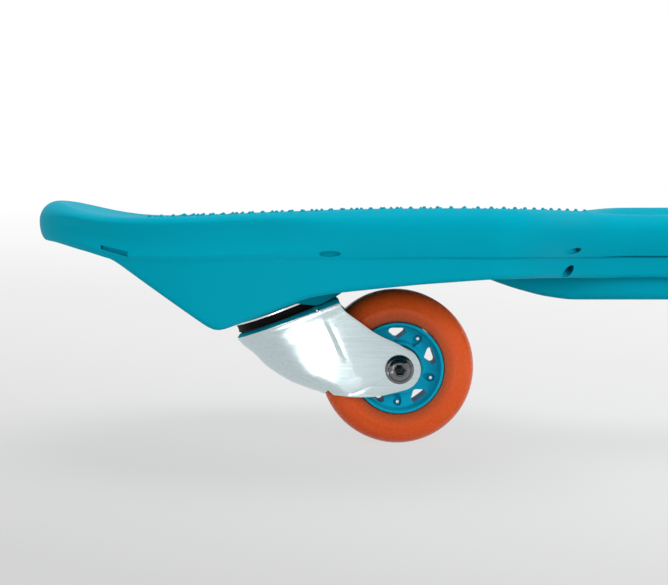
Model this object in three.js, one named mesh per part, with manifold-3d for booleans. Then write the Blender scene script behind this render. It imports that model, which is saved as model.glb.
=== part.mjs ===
// A two-wheeled caster board: one moulded deck that twists at its neck, on two inclined swivel casters.
// Millimetres, +Z up. The nose is at -X, the tail at +X, and the wheels stand on z = 0.
import * as THREE from "three";
import { mergeVertices } from "three/addons/utils/BufferGeometryUtils.js";
import Module from "manifold-3d";

const wasm = await Module();
wasm.setup();

// Deck, seen from above
const boardLength = 686;
const boardWidth = 203;
const neckWidth = 66;
const neckHalfLength = 55;
const shoulderEnd = 135;
const noseLength = 140;
const noseRoundness = 2.3;

// Deck, seen from the side; heights are above the centre of the front caster's mounting face
const deckRise = 46.2;
const rimWave = 2.3;
const rimDepth = 20.6;
const rimRound = 9;
const rimShoulder = 14;
const dishDepth = 4.5;
const foldInset = 3.5;
const foldStep = 1;
const flankLean = 0.15;
const flankDrop = 15;
const skirtRise = 17.2;
const neckSkirtRise = 14.2;
const wedgeDeep = 4.2;
const wedgeLead = 28.8;
const wedgeRound = 3.5;
const wedgeReach = 23.8;
const wedgeAngle = THREE.MathUtils.degToRad(33.5);
const skirtInset = 44;
const bellyDeep = 3.6;
const bellyHalfLength = 83;
const bellyRunOut = 50;
const bellyHalfWidth = 18;

// Moulding: skin, walls and the ribs of the open underside
const skin = 4;
const wall = 4;
const rib = 2.6;
const keelWall = 4;
const ribPitchX = 50;
const ribPitchY = 36;
const neckSplit = 0.3;
const bulkhead = 4;

// Casters
const incline = THREE.MathUtils.degToRad(21);
const frontMountInset = 120.3;
const rearMountInset = 176.7;
const casterTrail = 41.9;
const wheelRadius = 38;
const wheelHeadroom = 1.1;
const steel = 2.5;
const gap = 0.3;

// Swivel bearing stack
const plateRadius = 28.5;
const plateThickness = 2;
const padBorder = 1.5;
const kingpinRadius = 5;
const kingpinHeadRadius = 10;
const kingpinHeadHeight = 5;
const kingpinTip = 1.2;
const sealRadius = 25.5;
const sealWall = 1.9;
const upperBallRadius = 2.3;
const upperBallCircle = 13;
const upperBallCount = 9;
const lowerBallRadius = 1.95;
const lowerBallCircle = 9.6;
const lowerBallCount = 7;
const cageHeight = 1.2;
const cageHalfWidth = 1.2;
const wheelCageHalfWidth = 0.7;
const cupRadius = 13.2;
const cupThickness = 2.4;
const kingpinNutFlats = 16;
const kingpinNutHeight = 6;
const screwCircle = 20;
const screwRadius = 2.4;
const screwHeadRadius = 3.8;
const screwLength = 16;
const screwSocketFlats = 2.6;
const screwSocketDepth = 1.4;
const screwCount = 4;

// Fork
const crownNose = 27;
const crownRear = 26.5;
const crownFlare = 5;
const legEndRadius = 10.4;
const legEndFrom = THREE.MathUtils.degToRad(-45);
const legEndTurn = THREE.MathUtils.degToRad(147);
const wheelSideClear = 1.3;
const wheelTipClear = 1.5;
const accessHoleRadius = 3.5;

// Axle and wheel
const axleRadius = 4;
const axleHeadRadius = 7;
const axleHeadHeight = 4.1;
const axleSocketFlats = 5;
const axleSocketDepth = 2.6;
const axleNutFlats = 13;
const axleNutHeight = 8;
const axleTip = 1;
const spacerLength = 2.9;
const spacerRadius = 6.5;
const bearingRadius = 11;
const bearingWidth = 7;
const bearingRecess = 1;
const ringWall = 1.3;
const innerRingWall = 1.6;
const wheelBallCount = 7;
const shieldThickness = 0.5;
const shieldSet = 0.3;
const tyreWidth = 24;
const treadBand = 3;
const sidewallRadius = 29.3;
const hubRadius = 22.3;
const hubRimWall = 2.6;
const hubBossWall = 2.6;
const hubWebHalf = 6;
const hubShoulder = 1.8;
const windowCount = 5;
const windowHeight = 4.6;
const windowHalfWidth = 3.9;
const dimpleRadius = 1.9;
const dimpleDepth = 1.6;

// Small moulded details of the deck's side
const slotLength = 12.5;
const slotHeight = 3;
const slotDepth = 5;
const slotInset = 47;
const slotDrop = 16.2;
const slotTilt = THREE.MathUtils.degToRad(12);
const sightInset = 141;
const sightLength = 7.5;
const sightDepth = 1.4;
const ventX = 92;
const ventRadius = 1.5;
const drainRadius = 2.2;
const drainDrop = 6;
const ventRise = 3;
const overrun = 5;

// Facets of the round parts
const noseSteps = 7;
const footSteps = 3;
const shoulderSteps = 6;
const forkNoseSteps = 6;
const legEndSteps = 7;
const treadSteps = 3;
const tyreSides = 32;
const hubSides = 20;
const plateSides = 24;
const ringSides = 14;
const pinSides = 12;
const screwSides = 6;
const dimpleSides = 6;
const ballSides = 5;
const ballRows = 3;
const weld = 0.0001;

// Places that follow from the sizes above
const halfLength = boardLength / 2;
const halfWidth = boardWidth / 2;
const noseStart = halfLength - noseLength;
const skirtEnd = halfLength - skirtInset;
const slotX = halfLength - slotInset;
const sightX = halfLength - sightInset;
const crownDrop = plateThickness + 2 * upperBallRadius + 3 * gap;
const axleDrop = crownDrop + steel + wheelHeadroom + wheelRadius;
const padZ = wheelRadius + axleDrop * Math.cos(incline) - casterTrail * Math.sin(incline);
const frontMountX = -halfLength + frontMountInset;
const rearMountX = halfLength - rearMountInset;
const rimTopZ = padZ + deckRise;
const floorZ = padZ - flankDrop;
const padRadius = plateRadius + padBorder;
const innerRingRadius = axleRadius + gap + innerRingWall;
const outerRingBore = bearingRadius - ringWall;
const wheelBallRadius = (outerRingBore - innerRingRadius) / 2 - gap;
const wheelBallCircle = (outerRingBore + innerRingRadius) / 2;
const bearingFace = tyreWidth / 2 - bearingRecess;
const bearingBack = bearingFace - bearingWidth;
const legInner = bearingFace + 2 * gap + spacerLength;
const legOuter = legInner + steel;

// Finishes
const polymer = { color: 0x009bb2, roughness: 0.45, metalness: 0 };
const zinc = { color: 0xbec8cd, roughness: 0.3, metalness: 1 };
const darkSteel = { color: 0x6f7478, roughness: 0.25, metalness: 1 };
const bearingSteel = { color: 0xd4d6d8, roughness: 0.15, metalness: 1 };
const sealRubber = { color: 0x1c1c1e, roughness: 0.7, metalness: 0 };
const urethane = { color: 0xe85b24, roughness: 0.35, metalness: 0 };
const cageNylon = { color: 0xcfc9b8, roughness: 0.6, metalness: 0 };

// A closed geometry as a solid, its shared corners welded and its faces turned outwards
function toSolid(geometry) {
  const bare = geometry.clone();
  bare.deleteAttribute("normal");
  bare.deleteAttribute("uv");
  const merged = mergeVertices(bare, weld);
  const spots = merged.attributes.position;
  const corners = [];
  let volume = 0;
  for (let i = 0; i < merged.index.count; i += 3) {
    const [a, b, c] = [0, 1, 2].map((k) => merged.index.getX(i + k));
    if (a === b || b === c || c === a) continue;
    corners.push([a, b, c]);
    const [p, q, r] = [a, b, c].map((k) => new THREE.Vector3().fromBufferAttribute(spots, k));
    volume += p.dot(q.cross(r)) / 6;
  }
  const turned = volume < 0 ? corners.map(([a, b, c]) => [a, c, b]) : corners;
  const vertProperties = new Float32Array(spots.array);
  const triVerts = new Uint32Array(turned.flat());
  return new wasm.Manifold(new wasm.Mesh({ numProp: 3, vertProperties, triVerts }));
}

function toGeometry(solid) {
  const { vertProperties, triVerts, numProp } = solid.getMesh();
  const points = [];
  for (let i = 0; i < vertProperties.length; i += numProp) {
    points.push(vertProperties[i], vertProperties[i + 1], vertProperties[i + 2]);
  }
  const geometry = new THREE.BufferGeometry();
  geometry.setAttribute("position", new THREE.Float32BufferAttribute(points, 3));
  geometry.setIndex(Array.from(triVerts));
  geometry.computeVertexNormals();
  return geometry;
}

const board = new THREE.Group();

function place(parent, name, solid, finish) {
  const mesh = new THREE.Mesh(toGeometry(solid), new THREE.MeshStandardMaterial(finish));
  mesh.name = name;
  parent.add(mesh);
}

function join(solids) {
  return solids.reduce((all, one) => all.add(one));
}

// Closed rings of equal count, skinned one to the next; the first and last close on themselves or are capped
function skinRings(rings, capped) {
  const count = rings[0].length;
  const points = rings.flat().flatMap((p) => [p.x, p.y, p.z]);
  const index = [];
  for (let i = 0; i + 1 < rings.length; i += 1) {
    for (let k = 0; k < count; k += 1) {
      const [a, b] = [i * count + k, i * count + ((k + 1) % count)];
      index.push(a, b, b + count, a, b + count, a + count);
    }
  }
  if (capped) {
    for (const [start, flip] of [[0, true], [(rings.length - 1) * count, false]]) {
      for (let k = 1; k + 1 < count; k += 1) {
        const fan = [start, start + k, start + k + 1];
        index.push(...(flip ? fan.reverse() : fan));
      }
    }
  }
  const geometry = new THREE.BufferGeometry();
  geometry.setAttribute("position", new THREE.Float32BufferAttribute(points, 3));
  geometry.setIndex(index);
  return toSolid(geometry);
}

// A profile of [radius, height] pairs turned about the Y axis
function turn(profile, sides, start = 0) {
  const points = profile.map(([radius, height]) => new THREE.Vector2(radius, height));
  const closed = profile[0][0] > 0;
  if (closed) points.push(points[0].clone());
  return toSolid(new THREE.LatheGeometry(points, sides, start));
}

// The same about the Z axis
function turnZ(profile, sides, start = 0) {
  const points = profile.map(([radius, height]) => new THREE.Vector2(radius, height));
  const closed = profile[0][0] > 0;
  if (closed) points.push(points[0].clone());
  return toSolid(new THREE.LatheGeometry(points, sides, start).rotateX(Math.PI / 2));
}

function tube(inner, outer, low, high) {
  return [[inner, low], [outer, low], [outer, high], [inner, high]];
}

function rod(radius, low, high) {
  return [[0, low], [radius, low], [radius, high], [0, high]];
}

function box(low, high) {
  const size = high.map((value, i) => value - low[i]);
  const centre = high.map((value, i) => (value + low[i]) / 2);
  return toSolid(new THREE.BoxGeometry(...size).translate(...centre));
}

const hexSides = 6;

// Radius to the corners of a hexagon of the given width across its flats
function hexCorner(flats) {
  return flats / 2 / Math.cos(Math.PI / hexSides);
}

// A side-view outline of [x, z] pairs as a prism across the board
function sidePrism(outline, halfSpan) {
  const shape = new THREE.Shape(outline.map(([x, z]) => new THREE.Vector2(x, z)));
  const geometry = new THREE.ExtrudeGeometry(shape, { depth: 2 * halfSpan, bevelEnabled: false });
  return toSolid(geometry.rotateX(Math.PI / 2).translate(0, halfSpan, 0));
}

// Value of a hand-drawn curve of [share of the half length, share of a height] at x, smooth between its points
function curveAt(shares, x) {
  const t = Math.abs(x) / halfLength;
  let i = 0;
  while (i + 2 < shares.length && t > shares[i + 1][0]) i += 1;
  const [[t0, v0], [t1, v1]] = [shares[i], shares[i + 1]];
  const s = THREE.MathUtils.clamp((t - t0) / (t1 - t0), 0, 1);
  return v0 + (v1 - v0) * s * s * (3 - 2 * s);
}

// The rim rises at nose and tail, dips before them and swells at the inner end of each foot plate
const rimWaveShares = [[0.14, -0.5], [0.46, 0.6], [0.79, -1], [0.866, -0.2], [0.9, 0.6], [0.94, 2.1], [1, 3.2]];
// The tread surface is crowned at the neck and dished, flat in the middle, at each foot plate
const floorShares = [[0.17, 0.25], [0.33, -1], [0.74, -1], [0.88, -0.1], [1, 1.2]];

function rimTop(x) {
  return rimTopZ + rimWave * curveAt(rimWaveShares, x);
}

function fold(x) {
  return rimTop(x) - rimDepth;
}

function treadFloor(x) {
  return rimTopZ + dishDepth * curveAt(floorShares, x);
}

function treadHeight(x, climb) {
  return treadFloor(x) + (rimTop(x) - treadFloor(x)) * climb;
}

// Half width of the deck between the nose and tail arcs
function bodyHalfWidth(x) {
  const t = THREE.MathUtils.clamp((Math.abs(x) - neckHalfLength) / (shoulderEnd - neckHalfLength), 0, 1);
  return neckWidth / 2 + (halfWidth - neckWidth / 2) * (1 - Math.cos(Math.PI * t)) / 2;
}

function evenly(from, to, steps) {
  return Array.from({ length: steps }, (_, i) => from + ((to - from) * i) / steps);
}

// Stations of one half of the plan outline, from the tail's tip to the nose's
function outlineStations() {
  const stations = [];
  for (let i = 0; i < noseSteps; i += 1) {
    const angle = (Math.PI / 2) * (1 - i / noseSteps);
    const along = Math.sin(angle) ** (2 / noseRoundness);
    const across = i === 0 ? 0 : Math.cos(angle) ** (2 / noseRoundness);
    stations.push({ centre: noseStart, along, across, width: halfWidth });
  }
  const half = [
    ...evenly(noseStart, shoulderEnd, footSteps),
    ...evenly(shoulderEnd, neckHalfLength, shoulderSteps),
    neckHalfLength,
  ];
  const places = [...half, ...half.map((x) => -x).reverse()];
  const body = places.map((x) => ({ centre: x, along: 0, across: 1, width: bodyHalfWidth(x) }));
  const nose = stations.map((one) => ({ ...one, centre: -one.centre, along: -one.along })).reverse();
  return [...stations, ...body, ...nose];
}

const stations = outlineStations();

// One level of the deck: the outline drawn in by a share of its width and by an inset, at a height
function level(share, inset, height) {
  const half = stations.map(({ centre, along, across, width }) => {
    const x = centre + along * Math.max(noseLength * share - inset, 0);
    const y = across * Math.max(width * share - inset, 0);
    return new THREE.Vector3(x, y, height(x));
  });
  const mirrored = half.slice(1, -1).reverse().map((p) => new THREE.Vector3(p.x, -p.y, p.z));
  return [...half, ...mirrored];
}

// Dish of the foot plates, as [share of the half width, share of the climb to the rim]
const dishShares = [[0, 0], [0.5, 0], [0.8, 0.3]];
const lipShare = 0.85;
// Rounded rim below its top, as shares of its radius inwards and down
const rimShares = [[0.35, 0.28], [0, 1], [0.07, 1.55]];

// The foot plates and neck with their rounded rim, down to the fold line
function plateSolid() {
  const rings = [
    ...dishShares.map(([out, climb]) => level(out, 0, (x) => treadHeight(x, climb))),
    level(1, rimShoulder, (x) => treadHeight(x, lipShare)),
    level(1, rimRound, rimTop),
    ...rimShares.map(([inward, down]) => level(1, rimRound * inward, (x) => rimTop(x) - rimRound * down)),
    level(1, foldInset, fold),
    level(0, 0, fold),
  ];
  return skinRings(rings, false);
}

// The flank below the fold line leans inwards; the side profile trims its lower edge
function flankInset(z, x) {
  return foldInset + foldStep + flankLean * (fold(x) - z);
}

function flankSolid() {
  const lap = foldInset;
  return skinRings([
    level(0, 0, (x) => fold(x) + lap),
    level(1, foldInset + foldStep, (x) => fold(x) + lap),
    level(1, foldInset + foldStep, fold),
    level(1, flankInset(floorZ, 0), () => floorZ),
    level(0, 0, () => floorZ),
  ], false);
}

// Lower edge of the flank: nose, front wedge, neck, rear wedge, tail
function wedgePoints(mountX) {
  const lowZ = padZ - wedgeDeep;
  const lowX = mountX - wedgeLead;
  const frontZ = mountX < 0 ? fold(skirtEnd) : padZ + skirtRise;
  const rearX = mountX + wedgeReach;
  return [
    [lowX - (frontZ - lowZ) / Math.tan(wedgeAngle) - wedgeRound, frontZ],
    [lowX - wedgeRound, lowZ + wedgeRound / 2],
    [lowX, lowZ],
    [rearX, lowZ + (rearX - lowX) * Math.tan(incline)],
  ];
}

function lowerEdge() {
  const skirtZ = padZ + skirtRise;
  const neckZ = padZ + neckSkirtRise;
  return [
    ...wedgePoints(frontMountX),
    [-shoulderEnd, skirtZ],
    [-bellyHalfLength, neckZ],
    [neckHalfLength, neckZ],
    ...wedgePoints(rearMountX),
    [rearMountX + 2 * wedgeReach, skirtZ],
    [skirtEnd - (fold(skirtEnd) - skirtZ) / Math.tan(wedgeAngle), skirtZ],
    [skirtEnd, fold(skirtEnd)],
  ];
}

function lowerSolid() {
  const topZ = rimTopZ;
  const edge = lowerEdge();
  return flankSolid().intersect(sidePrism([...edge, [skirtEnd, topZ], [edge[0][0], topZ]], halfWidth));
}

// The keel under the neck, which carries the twist
function bellySolid() {
  const lowZ = padZ + bellyDeep;
  const topZ = padZ + skirtRise;
  const end = bellyHalfLength + bellyRunOut;
  const curveShares = [[0.25, 0.12], [0.55, 0.4], [1, 1]];
  const half = curveShares.map(([out, up]) => [bellyHalfLength + bellyRunOut * out, lowZ + (topZ - lowZ) * up]);
  const other = half.map(([x, z]) => [-x, z]).reverse();
  const outline = [...other, [-bellyHalfLength, lowZ], [bellyHalfLength, lowZ], ...half];
  return sidePrism([...outline, [end, rimTopZ - rimRound], [-end, rimTopZ - rimRound]], bellyHalfWidth);
}

// Turns a solid from a caster's own frame, Z up its swivel axis, into the board's
function atMount(solid, mountX) {
  const frame = new THREE.Matrix4().makeRotationY(-incline).setPosition(mountX, 0, padZ);
  return solid.transform(frame.toArray());
}

// An upright boss, oval so that it stands evenly round the plate, cut to the slope of the mounting face
function padSolid(mountX) {
  const round = turnZ(rod(padRadius, floorZ - overrun, rimTopZ), plateSides);
  const boss = round.scale([Math.cos(incline), 1, 1]).translate(mountX, 0, 0);
  const above = box([-boardWidth, -boardWidth, 0], [boardWidth, boardWidth, boardWidth]);
  return boss.intersect(atMount(above, mountX));
}

// What the mould's core leaves hollow, open below, before ribs and pads are kept back
function coreSolid() {
  const inset = flankInset(padZ - wedgeDeep, 0) + wall;
  const bottomZ = floorZ - overrun;
  return skinRings([
    ...dishShares.slice(0, 2).map(([out]) => level(out, 0, (x) => treadFloor(x) - skin)),
    level(1, rimShoulder, (x) => treadHeight(x, dishShares[2][1]) - skin),
    level(1, inset, (x) => rimTop(x) - rimRound),
    level(1, inset, () => bottomZ),
    level(0, 0, () => bottomZ),
  ], false);
}

function ribSolids() {
  const bars = [];
  const low = floorZ - 2 * overrun;
  for (let x = ribPitchX; x < halfLength; x += ribPitchX) {
    for (const side of [-1, 1]) {
      bars.push(box([side * x - rib / 2, -halfWidth, low], [side * x + rib / 2, halfWidth, rimTopZ]));
    }
  }
  for (const side of [-1, 1]) {
    const inner = side * (bellyHalfWidth - keelWall / 2);
    bars.push(box([-halfLength, inner - keelWall / 2, low], [halfLength, inner + keelWall / 2, rimTopZ]));
    for (let k = 1; k * ribPitchY + Math.abs(inner) < halfWidth; k += 1) {
      const y = inner + side * k * ribPitchY;
      bars.push(box([-halfLength, y - rib / 2, low], [halfLength, y + rib / 2, rimTopZ]));
    }
  }
  bars.push(box([-bulkhead - neckSplit / 2, -halfWidth, low], [bulkhead + neckSplit / 2, halfWidth, rimTopZ]));
  return bars;
}

// Screw places round a mount, as [x, y] in the caster's own frame
function screwPlaces() {
  return Array.from({ length: screwCount }, (_, i) => {
    const angle = (i * 2 + 1) * Math.PI / screwCount;
    return [screwCircle * Math.cos(angle), screwCircle * Math.sin(angle)];
  });
}

function mountCuts(mountX) {
  const pocket = turnZ(rod(kingpinHeadRadius + gap, -overrun, kingpinHeadHeight + 2 * gap), ringSides);
  const pilots = screwPlaces().map(([x, y]) =>
    turnZ(rod(screwRadius + gap, -overrun, screwLength + gap), screwSides).translate(x, y, 0));
  return atMount(join([pocket, ...pilots]), mountX);
}

// Half width of the deck at x
function widthAt(x) {
  const beyond = Math.max(Math.abs(x) - noseStart, 0) / noseLength;
  return bodyHalfWidth(x) * (1 - beyond ** noseRoundness) ** (1 / noseRoundness);
}

// Slots, sights and drains, the same on both sides and at both ends
function sideCuts() {
  const cuts = [];
  for (const end of [-1, 1]) {
    for (const side of [-1, 1]) {
      const slotY = widthAt(slotX) - slotDepth;
      const slot = new THREE.BoxGeometry(slotLength, 2 * slotDepth, slotHeight)
        .rotateY(-end * slotTilt)
        .translate(end * slotX, side * (slotY + slotDepth), rimTop(slotX) - slotDrop);
      cuts.push(toSolid(slot));
      const sight = new THREE.SphereGeometry(sightLength / 2, screwSides, screwSides / 2)
        .scale(1, 2 * sightDepth / sightLength, slotHeight / sightLength)
        .translate(end * sightX, side * (widthAt(sightX) - foldInset), fold(sightX) + slotHeight / 2 + gap);
      cuts.push(toSolid(sight));
      const reach = widthAt(ventX);
      const vent = turn(rod(ventRadius, reach - rimRound - foldInset, reach + overrun), dimpleSides);
      const drain = turn(rod(drainRadius, reach - rimRound - 2 * foldInset, reach + overrun), dimpleSides);
      const turned = side < 0 ? 180 : 0;
      for (const [hole, z] of [[vent, fold(ventX) + ventRise], [drain, fold(ventX) - drainDrop]]) {
        cuts.push(hole.rotate([turned, 0, 0]).translate(end * ventX, 0, z));
      }
    }
  }
  return cuts;
}

function deckSolid() {
  const shell = plateSolid();
  const pads = [frontMountX, rearMountX].map(padSolid);
  const kept = join(pads).intersect(shell.add(flankSolid()));
  const outside = join([shell, lowerSolid(), bellySolid(), kept]);
  const hollow = coreSolid().subtract(join([...ribSolids(), ...pads]));
  const cuts = [mountCuts(frontMountX), mountCuts(rearMountX), ...sideCuts()];
  return outside.subtract(hollow).subtract(join(cuts));
}

function addDeck() {
  const deck = deckSolid();
  const far = boardLength;
  const split = neckSplit / 2;
  place(board, "front_deck", deck.intersect(box([-far, -far, -far], [-split, far, far])), polymer);
  place(board, "rear_deck", deck.intersect(box([split, -far, -far], [far, far, far])), polymer);
}

// Mount plate: a turned disc with countersunk holes and a hole for the kingpin
function plateSolidRound() {
  const [low, high] = [-gap - plateThickness, -gap];
  const disc = turnZ(tube(kingpinRadius + gap, plateRadius, low, high), plateSides);
  const holes = screwPlaces().map(([x, y]) => turnZ([
    [0, low - overrun],
    [screwHeadRadius + gap, low - overrun],
    [screwHeadRadius + gap, low],
    [screwRadius + gap, high],
    [screwRadius + gap, high + overrun],
    [0, high + overrun],
  ], screwSides).translate(x, y, 0));
  return disc.subtract(join(holes));
}

function mountScrew() {
  const low = -gap - plateThickness;
  const body = turnZ([
    [0, low],
    [screwHeadRadius, low],
    [screwRadius, -gap],
    [screwRadius, screwLength - screwRadius],
    [0, screwLength],
  ], screwSides);
  return body.subtract(turnZ(rod(hexCorner(screwSocketFlats), low - overrun, low + screwSocketDepth), hexSides));
}

// Balls held by their cage ring, as one piece about the Z axis
function cagedBalls(circle, ballRadius, count, z, halfWidth) {
  const ring = turnZ(tube(circle - halfWidth, circle + halfWidth, z - cageHeight / 2, z + cageHeight / 2),
    count, Math.PI / 2);
  const balls = Array.from({ length: count }, (_, i) => {
    const angle = (2 * Math.PI * i) / count;
    return toSolid(new THREE.SphereGeometry(ballRadius, ballSides, ballRows))
      .translate(circle * Math.cos(angle), circle * Math.sin(angle), z);
  });
  return join([ring, ...balls]);
}

function kingpinSolid() {
  const nutLow = -lowerStackDrop() - kingpinNutHeight - gap;
  return turnZ([
    [0, nutLow - kingpinTip],
    [kingpinRadius - kingpinTip / 2, nutLow - kingpinTip],
    [kingpinRadius, nutLow],
    [kingpinRadius, 0],
    [kingpinHeadRadius, 0],
    [kingpinHeadRadius, kingpinHeadHeight],
    [0, kingpinHeadHeight],
  ], ringSides);
}

// Drop of the race cup's lower face below the mounting face
function lowerStackDrop() {
  return crownDrop + steel + 2 * lowerBallRadius + 3 * gap + cupThickness;
}

function nutSolid(flats, bore, low, high) {
  const bored = turnZ(rod(bore, low - overrun, high + overrun), ringSides);
  return turnZ(rod(hexCorner(flats), low, high), hexSides).subtract(bored);
}

// Fork section at a drop below the mounting face: rounded nose, flat sides, open to the rear
// Each row: share of the axle's drop, then the nose and the bend as shares of the crown's reach, taper, squareness
const forkShares = [
  [0.153, -1, 0.575, 1, 2],
  [0.33, -0.881, 0.665, 0.72, 2.1],
  [0.475, -0.7, 0.735, 0.46, 2.3],
  [0.6, -0.563, 0.762, 0.24, 2.5],
  [0.72, -0.407, 0.785, 0.04, 2.8],
  [0.82, -0.237, 0.804, 0, 3],
  [0.953, 0.044, 0.815, 0, 3.2],
  [1.28, 0.44, 0.84, 0, 3.2],
];

function forkSection(row, inset, drop, rear) {
  const [, noseShare, bendShare, taper, squareness] = row;
  const nose = noseShare * crownNose + inset;
  const bend = bendShare * crownRear;
  const side = legOuter + crownFlare * taper - inset;
  const ring = [[rear, -side]];
  for (let i = 0; i <= 2 * forkNoseSteps; i += 1) {
    const angle = (Math.PI / 2) * (i / forkNoseSteps - 1);
    const across = Math.sign(angle) * Math.abs(Math.sin(angle)) ** (2 / squareness);
    const along = Math.abs(Math.cos(angle)) ** (2 / squareness);
    ring.push([bend - (bend - nose) * (Math.abs(i - forkNoseSteps) === forkNoseSteps ? 0 : along), side * across]);
  }
  ring.push([rear, side]);
  return ring.map(([x, y]) => new THREE.Vector3(x, y, -drop));
}

function forkBody(inset, topDrop, rear) {
  const rings = forkShares.map((row, i) =>
    forkSection(row, inset, i === 0 ? topDrop : row[0] * axleDrop, rear));
  return skinRings(rings, true);
}

// Side view of the fork, as [x, drop]: rear edge, rounded leg end about the axle, lower edge
const legRearShares = [[0.635, 0.232], [0.692, 0.318], [0.859, 0.542], [1.014, 0.695]];
const legLowerShares = [[0.642, 1.167], [0.401, 1.104], [0.229, 1.031], [0.103, 0.957], [-0.095, 0.9]];

function forkOutline() {
  const rear = legRearShares.map(([x, z]) => [x * casterTrail, z * axleDrop]);
  const end = [];
  for (let i = 0; i <= legEndSteps; i += 1) {
    const angle = legEndFrom + (legEndTurn * i) / legEndSteps;
    end.push([casterTrail + legEndRadius * Math.cos(angle), axleDrop + legEndRadius * Math.sin(angle)]);
  }
  const lower = legLowerShares.map(([x, z]) => [x * casterTrail, z * axleDrop]);
  const front = -crownNose - overrun;
  const outline = [[front, crownDrop - overrun], [crownRear, crownDrop - overrun], ...rear, ...end, ...lower];
  return [...outline, [front, axleDrop / 2]].map(([x, drop]) => [x, -drop]);
}

function forkSolid() {
  const rear = casterTrail + 2 * legEndRadius;
  const outside = forkBody(0, crownDrop, rear);
  const inside = forkBody(steel, crownDrop + steel, rear + overrun);
  const span = legOuter + 2 * crownFlare;
  const shell = outside.subtract(inside).intersect(sidePrism(forkOutline(), span));
  const wheelHalf = tyreWidth / 2 + wheelSideClear;
  const wheelWell = turn(rod(wheelRadius + wheelTipClear, -wheelHalf, wheelHalf), tyreSides);
  const axleBore = turn(rod(axleRadius + gap, -span, span), pinSides);
  const low = -crownDrop - steel - overrun;
  const pinBore = turnZ(rod(kingpinRadius + 2 * gap, low, 0), ringSides);
  const access = turnZ(rod(accessHoleRadius, low, 0), pinSides).translate(-screwCircle, 0, 0);
  return shell
    .subtract(join([wheelWell, axleBore]).translate(casterTrail, 0, -axleDrop))
    .subtract(join([pinBore, access]));
}

function axleBolt() {
  const face = -legOuter - gap;
  const domeShares = [[1, 0.3], [0.93, 0.62], [0.74, 0.88], [0.5, 1]];
  const dome = domeShares.map(([out, up]) => [axleHeadRadius * out, face - axleHeadHeight * up]);
  const tip = legOuter + 2 * gap + axleNutHeight;
  const body = turn([
    [0, tip + axleTip],
    [axleRadius - axleTip / 2, tip + axleTip],
    [axleRadius, tip],
    [axleRadius, face],
    [axleHeadRadius, face],
    ...dome,
    [0, face - axleHeadHeight],
  ], hubSides / 2);
  const top = face - axleHeadHeight;
  const socket = turn(rod(hexCorner(axleSocketFlats), top - overrun, top + axleSocketDepth), hexSides);
  return body.subtract(socket);
}

function axleNut() {
  const low = legOuter + gap;
  const nut = turn(rod(hexCorner(axleNutFlats), low, low + axleNutHeight), hexSides);
  return nut.subtract(turn(rod(axleRadius + gap, 0, low + axleNutHeight + overrun), pinSides));
}

// Tyre: square at the hub, folded at the sidewall ring, rounded to a narrow flat tread band
function tyreSolid() {
  const half = tyreWidth / 2;
  const bore = hubRadius + gap;
  const facet = 1 / Math.cos(Math.PI / tyreSides);
  const side = [];
  for (let i = 0; i <= treadSteps; i += 1) {
    const angle = (Math.PI / 2) * (i / treadSteps);
    const height = treadBand + (half - treadBand) * Math.cos(angle);
    side.push([(sidewallRadius + (wheelRadius - sidewallRadius) * Math.sin(angle)) * facet, height]);
  }
  const other = side.map(([radius, height]) => [radius, -height]).reverse();
  const profile = [[bore * facet, half], ...side, ...other, [bore * facet, -half]];
  return turn(profile, tyreSides, Math.PI / tyreSides);
}

// Rounded-triangle window, flat side outwards, as a prism along the axle
function windowSolid(angle) {
  const outer = hubRadius - hubRimWall - gap;
  const inner = outer - windowHeight;
  const shape = new THREE.Shape();
  const windowShares = [[0.3, 0], [1, 0.8], [0.8, 1]];
  const right = windowShares.map(([across, up]) => [windowHalfWidth * across, inner + windowHeight * up]);
  const left = right.map(([x, y]) => [-x, y]).reverse();
  [...right, ...left].forEach(([x, y], i) => (i === 0 ? shape.moveTo(x, y) : shape.lineTo(x, y)));
  const geometry = new THREE.ExtrudeGeometry(shape, { depth: tyreWidth, bevelEnabled: false });
  geometry.translate(0, 0, -tyreWidth / 2).rotateX(Math.PI / 2).rotateY(Math.PI / 2 - angle);
  return toSolid(geometry);
}

function hubSolid() {
  const half = tyreWidth / 2;
  const rimInner = hubRadius - hubRimWall;
  const boss = bearingRadius + gap + hubBossWall;
  const seat = bearingRadius + gap;
  const shoulder = bearingRadius - hubShoulder;
  const seatBack = bearingBack - gap;
  const upper = [
    [shoulder, seatBack],
    [seat, seatBack],
    [seat, bearingFace + gap],
    [boss, bearingFace + gap],
    [boss + gap, hubWebHalf],
    [rimInner, hubWebHalf],
    [rimInner, half - gap],
    [hubRadius, half],
  ];
  const lower = upper.map(([radius, y]) => [radius, -y]).reverse();
  const body = turn([...upper, ...lower], hubSides);
  const cuts = [];
  const dimpleCircle = (boss + rimInner) / 2 + gap;
  for (let i = 0; i < windowCount; i += 1) {
    const angle = Math.PI / 2 + (2 * Math.PI * i) / windowCount;
    cuts.push(windowSolid(angle));
    const middle = angle + Math.PI / windowCount;
    const [x, z] = [dimpleCircle * Math.cos(middle), dimpleCircle * Math.sin(middle)];
    for (const side of [-1, 1]) {
      const floor = side * (hubWebHalf - dimpleDepth);
      const top = side * (hubWebHalf + overrun);
      cuts.push(turn(rod(dimpleRadius, Math.min(floor, top), Math.max(floor, top)), dimpleSides).translate(x, 0, z));
    }
  }
  return body.subtract(join(cuts));
}

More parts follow.
